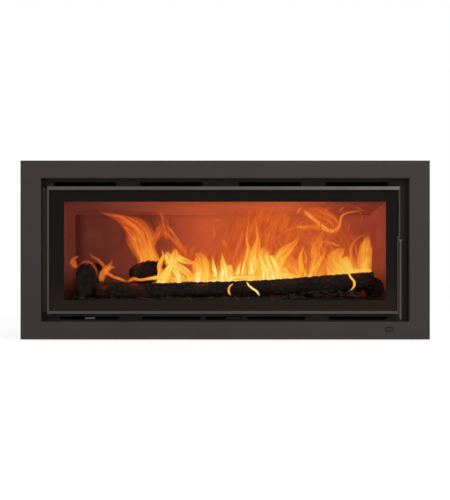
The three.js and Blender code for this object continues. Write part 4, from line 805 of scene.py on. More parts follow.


# Flame tongues, drawn over enlarged views of the photo. Each has its depth in mm, heat from base to
# tip, density, how bright its outline is, and points along its middle as column, row and half width in
# pixels of the 450 by 500 photo. photoView turns these to mm: it has the picture's middle, the object's place
# across there, the camera's distance to the face of the surround, and the focal length in pixels.
photoView = {"column": 206.0, "row": 250.0, "axis": -48.5, "distance": 2400.0, "focal": 936.8}
strokes = {
    "left": {
        "width": 0.72,
        "density": 0.68,
        "heat": -0.07,
        "tongues": [
            (60, (0.45, 0.35), 0.8, 0.3, [
                (78.7, 256.2, 0.8), (74.5, 258.3, 2.2), (73, 262.5, 4.2), (75.5, 266.6, 2.4),
                (78, 264.5, 0.8),
            ]),
            (150, (0.45, 0.35), 0.55, 0.6, [
                (107.5, 275, 2), (105, 268.7, 2), (102.5, 264.4, 2.2), (97.5, 259.4, 2), (91.6, 256.2, 1.6),
                (90.6, 251.5, 0.5),
            ]),
            (60, (0.3, 0.3), 0.4, 0, [
                (78.7, 264.5, 0.8), (85, 261.6, 1.2), (91.2, 263.4, 1.4), (96.2, 270, 1.4), (97, 278, 0.8),
            ]),
            (140, (0.75, 0.45), 0.85, 0.5, [
                (101, 282, 3), (102.5, 275, 4), (106.2, 270, 4.2), (110, 265, 2.6), (111.9, 258.2, 0.5),
            ]),
            (140, (0.6, 0.45), 0.7, 0.2, [
                (104, 273, 3), (109, 268.5, 2.5), (113, 267.2, 1.4), (115.8, 268.4, 0.4),
            ]),
            (140, (0.6, 0.8), 0.85, 0.2, [
                (104, 272, 2), (108.5, 274, 1.8), (113.7, 277, 1.5), (120, 279, 1.6), (127, 281.6, 1.6),
            ]),
        ],
    },
    "tall": {
        "width": 1,
        "density": 1,
        "heat": 0,
        "tongues": [
            (235, (0.66, 0.44), 0.95, 0.35, [
                (148, 268, 8), (147.5, 259, 8.2), (144, 248, 10), (140.5, 238, 11.5), (135, 229, 9.8),
                (123, 220, 4.6), (111, 215.4, 1.9), (99, 211.6, 0.7),
            ]),
            (232, (0.75, 0.45), 0.7, 0.2, [
                (143, 266, 3), (142.6, 258, 2.6), (141, 250, 2.4), (139, 243, 1.6),
            ]),
            (232, (0.8, 0.5), 0.75, 0.2, [
                (158, 266, 2.4), (156, 258, 2.4), (152.6, 250, 2.2), (151.4, 245, 1.6),
            ]),
            (228, (0.55, 0.42), 0.8, 0.5, [
                (151.4, 247, 1.6), (153.6, 241.5, 2.4), (157.5, 235.6, 3.6), (160.6, 230, 4.8),
                (161.2, 225.5, 3), (158.7, 221, 0.6),
            ]),
            (240, (0.42, 0.35), 0.42, 0.2, [
                (168, 240, 3), (166.5, 232, 3.6), (165, 224, 3), (162.5, 216, 2.4), (160, 209.5, 2.8),
            ]),
            (236, (0.6, 0.5), 0.7, 0.1, [
                (165, 232, 1), (170, 236.5, 1.3), (175, 241.5, 1.6), (181, 248, 1.8), (187.8, 257, 1.4),
            ]),
            (234, (0.65, 0.5), 0.6, 0.1, [
                (166.5, 226, 0.8), (172, 232, 1), (177.5, 240, 1.2), (183, 248, 1.3), (187.6, 255, 1),
            ]),
        ],
    },
    "middle": {
        "width": 1,
        "density": 1.03,
        "heat": 0.04,
        "tongues": [
            (150, (0.85, 0.7), 0.9, 0.3, [
                (162, 279, 3), (160, 272, 2.2), (158.9, 266.5, 2), (160.4, 261.5, 2), (163.2, 255.5, 1.5),
                (161.4, 249.4, 0.5),
            ]),
            (150, (1, 0.8), 0.92, 0.3, [
                (179, 287, 2), (178.6, 279, 2.2), (175.5, 270.5, 3.4), (171, 262.5, 4.8), (167.6, 256, 3.8),
                (166, 251.5, 1),
            ]),
            (148, (0.95, 0.7), 0.9, 0.3, [
                (172, 264, 3.5), (174, 258, 4.8), (175, 253, 3.2), (174.4, 248, 0.6),
            ]),
            (148, (0.9, 0.6), 0.85, 0.4, [
                (176, 256, 3), (181, 259.5, 3.4), (187, 261.6, 2.8), (193, 263, 1.6), (198, 262.4, 0.7),
            ]),
            (146, (0.95, 0.75), 0.88, 0.4, [
                (170, 260, 2.6), (178, 266.5, 3.4), (186, 272, 3.4), (195, 281, 3),
            ]),
            (145, (1, 0.8), 0.92, 0.3, [
                (160, 288, 4), (162, 281.5, 5), (166.5, 274.5, 4.6), (170, 267, 3.2), (171.5, 261, 1),
            ]),
            (152, (1, 0.5), 0.85, 0.5, [
                (201, 290, 7), (202, 280, 8), (202.2, 272, 8.6), (200.4, 264, 8.6), (197.5, 257, 5),
                (193, 255.4, 1.5),
            ]),
            (143, (1, 0.9), 0.8, 0.2, [(198, 289, 4), (197, 281, 4.4), (198, 274, 3.4), (201, 268, 1)]),
            (150, (1, 0.78), 0.92, 0.3, [
                (213, 288, 3.6), (214.2, 279, 3.2), (214.6, 272, 2.6), (212.9, 263.5, 1.4),
                (212.2, 255.4, 0.4),
            ]),
            (148, (1, 0.78), 0.92, 0.3, [
                (221.5, 288, 5), (223, 278, 4.6), (223.7, 270, 3.8), (222.6, 262, 2.4), (221.8, 251.6, 0.4),
            ]),
            (152, (1, 0.85), 0.92, 0.2, [
                (226, 290, 9), (226.4, 280, 9), (227, 273, 8), (229.5, 267.5, 3.4), (231, 264.5, 0.6),
            ]),
            (240, (0.45, 0.42), 0.45, 0.3, [
                (214, 240, 1), (214.3, 231, 1.8), (214.8, 224, 2.6), (218.5, 221, 2.6), (222, 223.4, 0.8),
            ]),
            (238, (0.5, 0.42), 0.45, 0.3, [
                (221.6, 238.6, 0.8), (224.4, 243, 2.2), (227.6, 249.5, 2), (229, 254, 0.7),
            ]),
            (150, (0.95, 0.8), 0.9, 0.2, [
                (236, 284, 2.6), (236.8, 275.5, 2.4), (238.2, 268.5, 2), (240.9, 261.6, 0.4),
            ]),
            (142, (0.86, 0.86), 0.92, 0.1, [
                (205, 283, 2.6), (216, 281, 3.6), (232, 280, 4.2), (248, 279.4, 4.6), (262, 278, 4.6),
                (278, 276.6, 4.4), (292, 276.4, 3), (300, 277, 1.4),
            ]),
            (142, (0.5, 0.85), 0.7, 0.1, [
                (127, 282, 0.96), (133, 278.8, 1.55), (140, 279.8, 1.18), (150, 278.4, 1.6),
                (160, 277.4, 2.4), (170, 279, 3), (185, 281, 2.6),
            ]),
        ],
    },
    "right": {
        "width": 1,
        "density": 1,
        "heat": 0,
        "tongues": [
            (150, (1, 0.55), 0.92, 0.3, [
                (241, 286, 2.6), (242.6, 275, 2.6), (245.2, 265, 2.8), (247.6, 255, 2.6),
                (248.2, 246.5, 1.6), (246.4, 240, 1), (247.4, 230, 1), (248.4, 221, 1.4), (249.6, 214, 1.4),
            ]),
            (147, (1, 0.55), 0.95, 0.2, [
                (253, 290, 6), (252.8, 277, 5.6), (253.2, 265, 5.4), (254.2, 255, 5), (256.6, 246, 3.6),
                (257.6, 238, 1.7), (256.2, 229, 1.1), (255.6, 220, 1.1), (256, 214, 0.6),
            ]),
            (152, (1, 0.8), 0.95, 0.1, [
                (268, 290, 14), (269, 278, 13), (268, 269, 12), (264.5, 260, 10.5), (263.6, 254, 7),
                (267, 248.5, 3),
            ]),
            (149, (0.95, 0.45), 0.9, 0.3, [
                (264, 284, 6), (270.5, 275, 6.4), (276.6, 265, 6.6), (281.6, 255.6, 6), (288, 248.4, 4.6),
                (295, 242, 2), (298, 236, 1.2), (297, 230, 0.8), (295.4, 226, 0.4),
            ]),
            (150, (1, 0.8), 0.9, 0.1, [(284, 289, 9), (284, 280, 8), (282, 272, 6.6), (280, 265, 3)]),
            (150, (0.85, 0.7), 0.85, 0.2, [
                (300, 284, 2.6), (297.5, 275.6, 2.4), (292, 269, 2.2), (287.4, 263.4, 1.7),
                (285.4, 257.6, 0.5),
            ]),
            (152, (0.6, 0.5), 0.6, 0.5, [
                (298, 280, 2), (296, 271, 4.6), (293, 264, 4.4), (290.6, 257, 2.6), (290.4, 253, 0.7),
            ]),
            (150, (0.75, 0.55), 0.8, 0.3, [
                (298, 284, 2.4), (300.4, 271, 3), (300.2, 262, 2.6), (300.6, 254, 1.6), (304, 244.6, 0.4),
            ]),
            (152, (0.8, 0.6), 0.85, 0.9, [
                (313, 286, 2.4), (313.2, 277, 3), (314, 268, 4.4), (316, 259.6, 4.6), (315, 251, 4),
                (318.4, 243, 3.2), (320.8, 236.6, 2.2), (324.4, 230.6, 1.4),
            ]),
            (152, (0.7, 0.5), 0.75, 0.3, [
                (315.6, 257, 2.2), (314, 250.5, 2.2), (312.4, 245, 1.6), (310.4, 239.4, 0.4),
            ]),
            (148, (0.85, 0.6), 0.8, 0.1, [
                (306, 281, 1.2), (312, 270.6, 1.4), (318.4, 262.6, 1.5), (323, 256, 1.3), (325.8, 248, 0.4),
            ]),
            (154, (0.6, 0.5), 0.6, 0.3, [(321, 283, 4), (322, 273, 4.6), (323, 265, 3), (325, 257, 1)]),
            (156, (0.9, 0.55), 0.88, 0.6, [
                (342, 284, 15), (343, 275, 14.5), (341, 267, 13), (336.6, 260.4, 9.6), (336.8, 255.4, 7),
                (341, 251, 3.4), (344.6, 247.6, 0.8),
            ]),
            (152, (0.8, 0.6), 0.8, 0.2, [
                (331, 281, 2), (328.6, 271, 2), (326, 262, 1.6), (324.2, 256.4, 0.5),
            ]),
            (154, (0.6, 0.45), 0.6, 0.1, [
                (350, 274, 1.6), (350.6, 262, 1.4), (350.8, 253, 1.3), (351.6, 246, 1.2), (355.6, 240, 1.1),
                (362, 235.4, 0.9), (370.6, 232.2, 0.5),
            ]),
            (150, (0.85, 0.65), 0.92, 0.7, [
                (364.6, 280, 5.6), (364.4, 270, 6), (364.3, 260, 6.2), (364.8, 250, 5.6), (366.2, 242.4, 4),
                (368.6, 235, 0.9),
            ]),
            (146, (0.8, 0.7), 0.85, 0.1, [
                (366, 270.4, 1.6), (369.6, 270.6, 1.6), (370.9, 275.6, 1.1), (370.9, 282, 0.6),
            ]),
            (146, (0.85, 0.85), 0.85, 0.1, [
                (328, 276.4, 2), (338, 273.6, 2.2), (350, 271.4, 2.2), (362, 270.4, 2), (370, 270, 1),
            ]),
        ],
    },
    "swirl": {
        "width": 0.9,
        "density": 1.25,
        "heat": 0.08,
        "tongues": [
            (186, (0.5, 0.45), 0.7, 0.3, [
                (296, 214, 1.4), (300, 211, 3.4), (304, 207, 4.2), (308, 205.6, 3.2), (314, 207, 1),
            ]),
            (186, (0.7, 0.55), 0.88, 0.2, [
                (301, 208.6, 1), (306, 213, 2.2), (312.6, 218.4, 2), (319.6, 224.4, 2.2), (326, 229.6, 2.4),
                (332.4, 231.2, 2.3), (337.6, 228.6, 2), (339.8, 224, 1.5), (340.4, 219, 1.2),
                (342.4, 215, 1.1), (348.7, 212.5, 0.9), (357.5, 211.2, 0.8), (366, 210, 0.5),
            ]),
            (192, (0.52, 0.42), 0.64, 0.5, [
                (306, 208.4, 2), (313, 211, 5.4), (322.5, 215.6, 7.4), (331, 220.4, 7), (335.6, 225.4, 3.6),
                (336, 229, 1),
            ]),
            (190, (0.48, 0.42), 0.55, 0.1, [
                (310, 215, 0.6), (318, 212, 1), (328.7, 208.2, 1), (338, 203.8, 0.7),
            ]),
            (190, (0.42, 0.38), 0.5, 0.1, [
                (338.7, 212, 0.8), (342.6, 207.6, 1.1), (348.6, 205.4, 1.2), (355.6, 206.8, 1.1),
                (363.4, 211.2, 0.8),
            ]),
            (188, (0.62, 0.5), 0.7, 0.1, [
                (283, 231.6, 0.6), (290, 228.8, 1.1), (296, 226, 1.2), (302, 221, 1.2), (304, 217, 0.5),
            ]),
            (190, (0.5, 0.5), 0.55, 0.2, [
                (294, 225, 1.4), (301, 227, 2.6), (309, 227, 3), (318, 227.6, 3), (326.6, 230, 2),
            ]),
            (190, (0.45, 0.4), 0.45, 0.2, [
                (321, 243, 2.6), (330, 243.4, 2), (337, 245.4, 1), (341, 247, 0.4),
            ]),
        ],
    },
    # The three broad, faint tongues here are painted glow around the fire; the two thin ones are flames
    "haze": {
        "width": 1,
        "density": 1,
        "heat": 0,
        "tongues": [
            (250, (0.36, 0.3), 0.6, 0, [
                (255, 290, 34), (257, 268, 38), (262, 248, 36), (267, 230, 32), (272, 216, 24),
                (276, 205, 10),
            ]),
            (252, (0.2, 0.16), 0.3, 0, [
                (322, 288, 34), (326, 268, 34), (320, 250, 30), (310, 232, 24), (302, 216, 16),
            ]),
            (252, (0.3, 0.24), 0.45, 0, [(190, 286, 32), (192, 272, 32), (196, 258, 26), (200, 246, 14)]),
            (240, (0.48, 0.42), 0.5, 0.2, [
                (234, 241, 1.4), (235.6, 235.6, 3), (238.6, 228.6, 3.2), (240.4, 222, 2.2),
                (236, 217.4, 1.8), (232, 216, 0.8),
            ]),
            (240, (0.55, 0.45), 0.5, 0.1, [
                (262, 228, 0.6), (268, 230.4, 1.1), (274, 233.4, 1.1), (279, 237, 0.6),
            ]),
        ],
    },
    "licks": {
        "width": 0.62,
        "density": 1,
        "heat": 0.09,
        "tongues": [
            (76, (0.7, 0.75), 0.9, 0.1, [
                (233, 283.6, 0.6), (229.6, 286.4, 1.2), (228.4, 290, 1.5), (229.2, 293.4, 1.3),
                (231, 295.2, 0.4),
            ]),
            (74, (0.8, 0.9), 0.95, 0.1, [
                (246.4, 281.6, 1), (248.6, 285.4, 1.5), (252.4, 288.6, 1.6), (256, 291, 1.6),
                (258.2, 294, 1.3), (259.4, 296, 0.4),
            ]),
            (72, (0.8, 0.85), 0.95, 0.1, [
                (348, 272, 1.2), (350.4, 277, 1.5), (353.6, 281.4, 1.8), (353.6, 285.6, 1.7),
                (351.4, 289, 0.9), (350, 290.4, 0.4),
            ]),
        ],
    },
}


def fromPhoto(depth, column, row, halfWidth):
    mmPerPixel = (photoView["distance"] + depth) / photoView["focal"]
    x = photoView["axis"] + (column - photoView["column"]) * mmPerPixel
    return x, (photoView["row"] - row) * mmPerPixel, halfWidth * mmPerPixel


def drawnTongues(group):
    made = []
    for depth, heat, density, rim, points in group["tongues"]:
        spine = [fromPhoto(depth, column, row, half * group["width"]) for column, row, half in points]
        warmth = [max(0.0, min(1.0, value + group["heat"])) for value in heat]
        made.append((depth, warmth, min(1.0, density * group["density"]), rim, spine))
    return made


tongues = {name: drawnTongues(group) for name, group in strokes.items()}

flameShape = {
    "steps": 10, "across": 12, "spread": 1.5, "narrowest": 0.25, "bulge": 0.45, "sway": 5.0, "swayLength": 17,
    "footShare": 0.14, "footLeast": 0.12, "tipShare": 0.3, "tipCurve": 0.8,  # where a tongue fades in and out
    "warmth": 0.9, "coolest": 0.25, "coolAbove": -40.0, "cooling": 0.0016,
    "streak": 24.0, "streakAcross": 2.2, "streakAlong": 1.6, "streakShift": 3.7,
}


def tongueSheets(tongue, seed):
    depth, heat, density, rim, spine = tongue
    shape = flameShape
    marked = [(x, z, w, index / (len(spine) - 1)) for index, (x, z, w) in enumerate(spine)]
    line = curveThrough(marked, shape["steps"])
    travelled = 0.0
    rows = []
    for index, (x, z, w, share) in enumerate(line):
        before, after = line[max(index - 1, 0)], line[min(index + 1, len(line) - 1)]
        run = Vector((after[0] - before[0], after[1] - before[1]))
        run = run.normalized() if run.length > 0 else Vector((0, 1))
        if index:
            travelled += math.hypot(x - line[index - 1][0], z - line[index - 1][1])
        sway = shape["sway"] * math.sin(travelled / shape["swayLength"] + seed)
        rows.append((x, z, max(w, shape["narrowest"]) * shape["spread"], run, share, travelled, sway))
    points, faces, data = [], [], []
    across = shape["across"]
    for side in (-1, 1):
        first = len(points)
        for x, z, width, run, share, travelled, sway in rows:
            for column in range(across + 1):
                u = 2 * column / across - 1
                lens = side * shape["bulge"] * width * math.sqrt(max(0.0, 1 - u * u))
                offset = u * width
                points.append(place(x - run.y * offset, depth + sway + lens, z + run.x * offset))
                fadeIn = min(1.0, share / shape["footShare"] + shape["footLeast"])
                fadeOut = min(1.0, (1 - share) / shape["tipShare"]) ** shape["tipCurve"]
                cooled = shape["cooling"] * max(0.0, z - shape["coolAbove"])
                warmth = (heat[0] + (heat[1] - heat[0]) * share) * shape["warmth"] - cooled
                flow = (
                    u * width / shape["streak"] * shape["streakAcross"] + seed * shape["streakShift"],
                    travelled / shape["streak"] / shape["streakAlong"] + seed,
                )
                data.append((max(shape["coolest"], warmth), density * (fadeIn * fadeOut), rim, u, flow))
        for row in range(len(rows) - 1):
            for column in range(across):
                a = first + row * (across + 1) + column
                corners = (a, a + 1, a + across + 2, a + across + 1)
                faces.append(corners if side < 0 else corners[::-1])
    return points, faces, data


def makeFlames(group, tongueList):
    points, faces, data = [], [], []
    for index, tongue in enumerate(tongueList):
        newPoints, newFaces, newData = tongueSheets(tongue, index * 1.7 + len(group))
        shift = len(points)
        points += newPoints
        faces += [tuple(shift + corner for corner in face) for face in newFaces]
        data += newData
    piece = meshPiece("flames_" + group, points, faces, flame, "body")
    mesh = piece.data
    for column, name in enumerate(("flameHeat", "flameBody", "flameRim", "flameSide")):
        writeAttribute(mesh, name, [row[column] for row in data])
    flow = mesh.uv_layers.new(name="flow")
    for loop in mesh.loops:
        flow.data[loop.index].uv = data[loop.vertex_index][4]
    return piece


# Fine wisps of burning gas between the drawn tongues, all in mm
wisps = {
    "seed": 7,
    "fire": {
        "count": 40, "left": 40, "right": 395, "low": -85, "high": -20, "rise": (40, 120),
        "heat": (0.5, 0.42), "density": (0.3, 0.6),
    },
    "roof": {
        "count": 16, "left": 120, "right": 380, "low": 20, "high": 80, "rise": (25, 60),
        "heat": (0.42, 0.36), "density": (0.25, 0.5),
    },
    "heart": {
        "count": 22, "left": -180, "right": 230, "low": -100, "high": -75, "rise": (25, 60),
        "heat": (0.95, 0.6), "density": (0.45, 0.8),
    },
}


def looseWisps(kind, draw):
    made = []
    for index in range(kind["count"]):
        x = kind["left"] + (kind["right"] - kind["left"]) * (index + draw.random()) / kind["count"]
        low = draw.uniform(kind["low"], kind["high"])
        rise = draw.uniform(*kind["rise"])
        lean = draw.uniform(-0.35, 0.35)
        turn = draw.uniform(0, 6.3)
        width = draw.uniform(1.0, 3.2)
        spine = []
        for step in range(7):
            share = step / 6
            swing = 9 * share * math.sin(turn + 4.2 * share)
            spine.append((x + lean * rise * share + swing, low + rise * share, width * (1 - 0.75 * share)))
        made.append((draw.uniform(158, 166), kind["heat"], draw.uniform(*kind["density"]), 0.1, spine))
    return made


draw = random.Random(wisps["seed"])
for group in ("fire", "roof", "heart"):
    tongues["wisps_" + group] = looseWisps(wisps[group], draw)
for group, tongueList in tongues.items():
    makeFlames(group, tongueList)
print("flames made")

# Sheets of fire behind the front log: rows of (x, height above the log, density), all in mm
veils = {
    "low": {
        "depth": 180,
        "sweep": 12,
        "columns": 190,
        "rows": 30,
        "material": veilLow,
        "profile": [
            (-215, 20, 0), (-188, 40, 0.4), (-165, 76, 0.8), (-135, 78, 0.85), (-100, 48, 0.75),
            (-60, 56, 0.9), (0, 54, 0.9), (35, 60, 0.85), (70, 105, 0.9), (110, 132, 0.95),
            (160, 115, 0.85), (200, 86, 0.5), (240, 70, 0.26), (290, 56, 0.3), (325, 74, 0.5),
            (360, 44, 0.3), (385, 78, 0.5), (400, 46, 0),
        ],
    },
    "high": {
        "depth": 236,
        "sweep": 12,
        "columns": 170,
        "rows": 40,
        "material": veilHigh,
        "profile": [
            (-60, 60, 0), (0, 120, 0.24), (50, 165, 0.42), (110, 190, 0.54), (170, 200, 0.54),
            (240, 205, 0.38), (310, 200, 0.34), (370, 170, 0.26), (410, 140, 0),
        ],
    },
}


# The top of the front log, which a veil follows, and the shape that both veils share, all in mm
logTop = {"level": -87, "climb": 30, "from": -344, "length": 741}
veilShape = {
    "sunk": 26, "foot": 22, "reach": 1.25, "below": 0.1, "wave": 47, "twist": 1.5, "lean": 22,
    "ceiling": 118.0,
}


def makeVeil(name, veil):
    profile, columns, rows = veil["profile"], veil["columns"], veil["rows"]
    points, faces, rises, densities = [], [], [], []
    left, right = profile[0][0], profile[-1][0]
    for column in range(columns + 1):
        x = left + (right - left) * column / columns
        before = max(index for index in range(len(profile) - 1) if profile[index][0] <= x)
        (x0, h0, d0), (x1, h1, d1) = profile[before:before + 2]
        share = (x - x0) / (x1 - x0)
        share = share * share * (3 - 2 * share)
        height, density = h0 + (h1 - h0) * share, d0 + (d1 - d0) * share
        onLog = logTop["level"] + logTop["climb"] * (x - logTop["from"]) / logTop["length"]
        base = onLog - veilShape["sunk"] + veilShape["foot"]
        for row in range(rows + 1):
            rise = veilShape["reach"] * row / rows - veilShape["below"]
            swing = math.sin(x / veilShape["wave"] + rise * veilShape["twist"])
            depth = veil["depth"] + veil["sweep"] * swing + veilShape["lean"] * rise
            points.append(place(x, depth, min(base + rise * height, veilShape["ceiling"])))
            rises.append(max(0.0, rise))
            densities.append(density)
            if row and column:
                here = column * (rows + 1) + row
                faces.append((here - rows - 2, here - 1, here, here - rows - 1))
    piece = meshPiece("fire_" + name, points, faces, veil["material"], "body")
    writeAttribute(piece.data, "flameHeat", rises)
    writeAttribute(piece.data, "flameBody", densities)
    return piece


for name, veil in veils.items():
    makeVeil(name, veil)
print("fire made")

# Charred logs, each in the place of its CAD solid: ends in (x, depth, level), radius, all in mm
logs = {
    "log_front": {
        "from": (-344, 116, -112), "to": (397, 104, -82), "radius": 24.6, "bend": -9, "seed": 0.4,
        "fire": 0.5,
    },
    "log_left": {
        "from": (-370, 74, -83), "to": (-363, 262, -83), "radius": 25.6, "flatten": 1.8, "seed": 1.7,
        "fire": 0.8,
    },
    "log_back": {
        "from": (-256, 166, -64.5), "to": (-128, 238, -57.5), "radius": 25.6, "flatten": 1.26, "seed": 2.9,
        "fire": 0.55, "taper": 0.5,
    },
    "log_rear": {"from": (-250, 198, -109), "to": (210, 186, -107), "radius": 22, "seed": 4.1, "fire": 1.0},
    "log_right": {
        "from": (409, 82, -102), "to": (404, 205, -104), "radius": 16.2, "flatten": 1.7, "seed": 5.3,
        "fire": 0.8,
    },
}
bark = {
    "around": 80, "pitch": 3.2, "blockAlong": 15.0, "blockAround": 26.0, "cut": 3.0, "capRings": 9,
    "wobble": 0.45, "wobbleShifts": ((9.3, -1.5, -8.0), (0.0, 0.0, 0.0), (3.7, 12.1, 5.2)),
}


def steadyWobble(point):
    # Three samples of plain noise, because noise_vector gives other values each time Blender starts
    return Vector([noise.noise(point + Vector(shift)) for shift in bark["wobbleShifts"]]) * bark["wobble"]


def makeLog(name, size):
    start, end = Vector(size["from"]), Vector(size["to"])
    axis = (end - start).normalized()
    up = Vector((0, 0, 1))
    acrossAxis = axis.cross(up).normalized()
    rise = acrossAxis.cross(axis)
    length = (end - start).length
    radius, flatten, bend = size["radius"], size.get("flatten", 1), size.get("bend", 0)
    seed, around = size["seed"], bark["around"]
    rings = [(0.0, ring / bark["capRings"]) for ring in range(bark["capRings"])]
    sideSteps = int(length / bark["pitch"])
    rings += [(step / sideSteps, 1.0) for step in range(sideSteps + 1)]
    rings += [(1.0, 1 - (ring + 1) / bark["capRings"]) for ring in range(bark["capRings"])]
    points, cracks, fires = [], [], []
    for share, spread in rings:
        middle = start.lerp(end, share) + up * (bend * math.sin(math.pi * share))
        for column in range(around):
            angle = 2 * math.pi * column / around
            furrow = 0.035 * math.cos(5 * angle + 9 * share + seed)
            furrow += 0.025 * math.cos(3 * angle - 14 * share + 2 * seed)
            swell = 0.05 * math.sin(7 * share + seed) + 0.03 * math.sin(17 * share + 3 * seed)
            nearEnd = max(0.0, 1 - 4 * min(share, 1 - share))
            reach = radius * (1 + furrow + swell) * (1 - size.get("taper", 0) * nearEnd ** 2)
            lay = Vector((
                share * length / bark["blockAlong"],
                math.cos(angle) * radius / bark["blockAround"] * 2,
                math.sin(angle) * radius / bark["blockAround"] * 2 + seed * 10,
            ))
            near = noise.voronoi(lay + steadyWobble(lay * 0.7))[0]
            crack = min(1.0, (near[1] - near[0]) * 2.6)
            rough = noise.fractal(lay * 2.2, 0.8, 2.1, 4)
            if spread < 1:
                # End grain: rings of the wood, burnt hollow, with a few radial checks
                ringLine = 0.5 + 0.5 * math.sin(spread * radius * 1.9 + noise.noise(lay) * 2)
                check = min(1.0, abs(math.sin(angle * 2.5 + seed * 3 + noise.noise(lay * 0.8))) * 3 + 0.2)
                crack = 0.35 + 0.65 * ringLine * check
                inward = 3.0 * (1 - spread ** 4) + (1 - crack) * 1.6
            else:
                inward = 0.0
            depthCut = bark["cut"] * (1 - crack) * (0.5 if spread < 1 else 1.0)
            r = (reach - depthCut - 0.8 + 0.8 * rough) * spread
            point = middle + acrossAxis * (math.sin(angle) * r) + rise * (math.cos(angle) * r * flatten)
            if spread < 1:
                point += axis * (inward if share < 0.5 else -inward)
            points.append(place(*point))
            cracks.append(crack)
            # More on the top, which faces the flames: painted firelight
            fires.append(size["fire"] * max(0.0, min(1.0, 0.35 + 0.65 * math.cos(angle))))
    # The first and last rings are single points
    points = [points[0], *points[around:-around], points[-1]]
    cracks = [cracks[0], *cracks[around:-around], cracks[-1]]
    fires = [fires[0], *fires[around:-around], fires[-1]]
    ringCount = len(rings) - 2
    faces = []
    for column in range(around):
        right = (column + 1) % around
        last = 1 + (ringCount - 1) * around
        faces.append((0, 1 + column, 1 + right))
        faces.append((len(points) - 1, last + right, last + column))
        for ring in range(ringCount - 1):
            a, b = 1 + ring * around + column, 1 + ring * around + right
            faces.append((a, a + around, b + around, b))
    piece = meshPiece(name.replace("log", "charred_log"), points, faces, charred, "body")
    writeAttribute(piece.data, "barkCrack", cracks)
    writeAttribute(piece.data, "burnAndTopFirelight", fires)
    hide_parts(name)
    return piece


for name, size in logs.items():
    makeLog(name, size)
print("logs made")


def newTree(name, inputs):
    tree = bpy.data.node_groups.new(name, "GeometryNodeTree")
    tree.interface.new_socket("Geometry", in_out="INPUT", socket_type="NodeSocketGeometry")
    tree.interface.new_socket("Geometry", in_out="OUTPUT", socket_type="NodeSocketGeometry")
    for label, kind, value in inputs:
        socket = tree.interface.new_socket(label, in_out="INPUT", socket_type=kind)
        socket.default_value = value
    return tree, addNode(tree, "NodeGroupInput").outputs, addNode(tree, "NodeGroupOutput")


def bakeTree(name, source, tree, values, body):
    modifier = source.modifiers.new(name, "NODES")
    modifier.node_group = tree
    sockets = {item.name: item.identifier for item in tree.interface.items_tree if item.in_out == "INPUT"}
    for label, value in values.items():
        modifier[sockets[label]] = value
    bpy.context.view_layer.update()
    evaluated = source.evaluated_get(bpy.context.evaluated_depsgraph_get())
    mesh = bpy.data.meshes.new_from_object(evaluated)
    mesh.name = name
    source.modifiers.remove(modifier)
    bpy.data.objects.remove(source)
    piece = bpy.data.objects.new(name, mesh)
    scene.collection.objects.link(piece)
    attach(piece, body)
    return piece


def screwTree(name, look):
    # A pan-head screw with a round socket, stood on every point of the incoming mesh
    tree, given, result = newTree(name, [
        ("Head Radius", "NodeSocketFloat", 0.004), ("Head Height", "NodeSocketFloat", 0.002),
        ("Turn", "NodeSocketVector", (0, 0, 0)),
    ])
    disc = addNode(tree, "GeometryNodeMeshCircle", {
        "Vertices": 14, "Radius": given["Head Radius"],
    }, fill_type="NGON")
    under = addNode(tree, "GeometryNodeFlipFaces", {0: disc})
    sideHeight = addNode(tree, "ShaderNodeMath", {0: given["Head Height"], 1: 0.55}, operation="MULTIPLY")
    crownHeight = addNode(tree, "ShaderNodeMath", {0: given["Head Height"], 1: 0.45}, operation="MULTIPLY")
    sunk = addNode(tree, "ShaderNodeMath", {0: given["Head Height"], 1: -0.55}, operation="MULTIPLY")
    wall = addNode(tree, "GeometryNodeExtrudeMesh", {
        "Mesh": disc, "Offset Scale": sideHeight, "Individual": False,
    })
    crown = addNode(tree, "GeometryNodeExtrudeMesh", {
        "Mesh": wall.outputs["Mesh"], "Selection": wall.outputs["Top"], "Offset Scale": crownHeight,
        "Individual": False,
    })
    pulled = addNode(tree, "GeometryNodeScaleElements", {
        "Geometry": crown.outputs["Mesh"], "Selection": crown.outputs["Top"], "Scale": 0.72,
    })
    rim = addNode(tree, "GeometryNodeExtrudeMesh", {
        "Mesh": pulled, "Selection": crown.outputs["Top"], "Offset Scale": 0.0, "Individual": False,
    })
    inner = addNode(tree, "GeometryNodeScaleElements", {
        "Geometry": rim.outputs["Mesh"], "Selection": rim.outputs["Top"], "Scale": 0.6,
    })
    socket = addNode(tree, "GeometryNodeExtrudeMesh", {
        "Mesh": inner, "Selection": rim.outputs["Top"], "Offset Scale": sunk, "Individual": False,
    })
    both = addNode(tree, "GeometryNodeJoinGeometry")
    setInputs(tree, both, {0: socket.outputs["Mesh"]})
    setInputs(tree, both, {0: under})
    head = addNode(tree, "GeometryNodeMergeByDistance", {"Geometry": both, "Distance": 0.00001})
    turn = addNode(tree, "FunctionNodeEulerToRotation", {0: given["Turn"]})
    stood = addNode(tree, "GeometryNodeInstanceOnPoints", {
        "Points": given["Geometry"], "Instance": head, "Rotation": turn,
    })
    whole = addNode(tree, "GeometryNodeRealizeInstances", {0: stood})
    done = addNode(tree, "GeometryNodeSetMaterial", {"Geometry": whole, "Material": look})
    setInputs(tree, result, {0: done})
    return tree


def sourceObject(name, points, faces=()):
    mesh = bpy.data.meshes.new(name)
    mesh.from_pydata([tuple(p) for p in points], [], list(faces))
    source = bpy.data.objects.new(name, mesh)
    scene.collection.objects.link(source)
    return source


screws = screwTree("pan head screws", zincPlated)


def between(low, high, count):
    return [low + (high - low) * index / (count - 1) for index in range(count)]


casing = {"half": 490.0, "front": 30.3, "topLevel": 200.5, "backFace": 382.3}
clampLines = {"depth": 23.1, "low": -144.1, "high": 143.4, "left": -437.6, "right": 426.3}
flueRing = {"radius": 85.5, "depth": 205, "level": 184.8, "screws": 8}
screwSizes = {
    "casing": {"radius": 4.0, "height": 2.2, "body": "body"},
    "flue": {"radius": 4.5, "height": 3.0, "body": "body"},
    "clamp": {"radius": 3.0, "height": 1.6, "body": "door"},
}


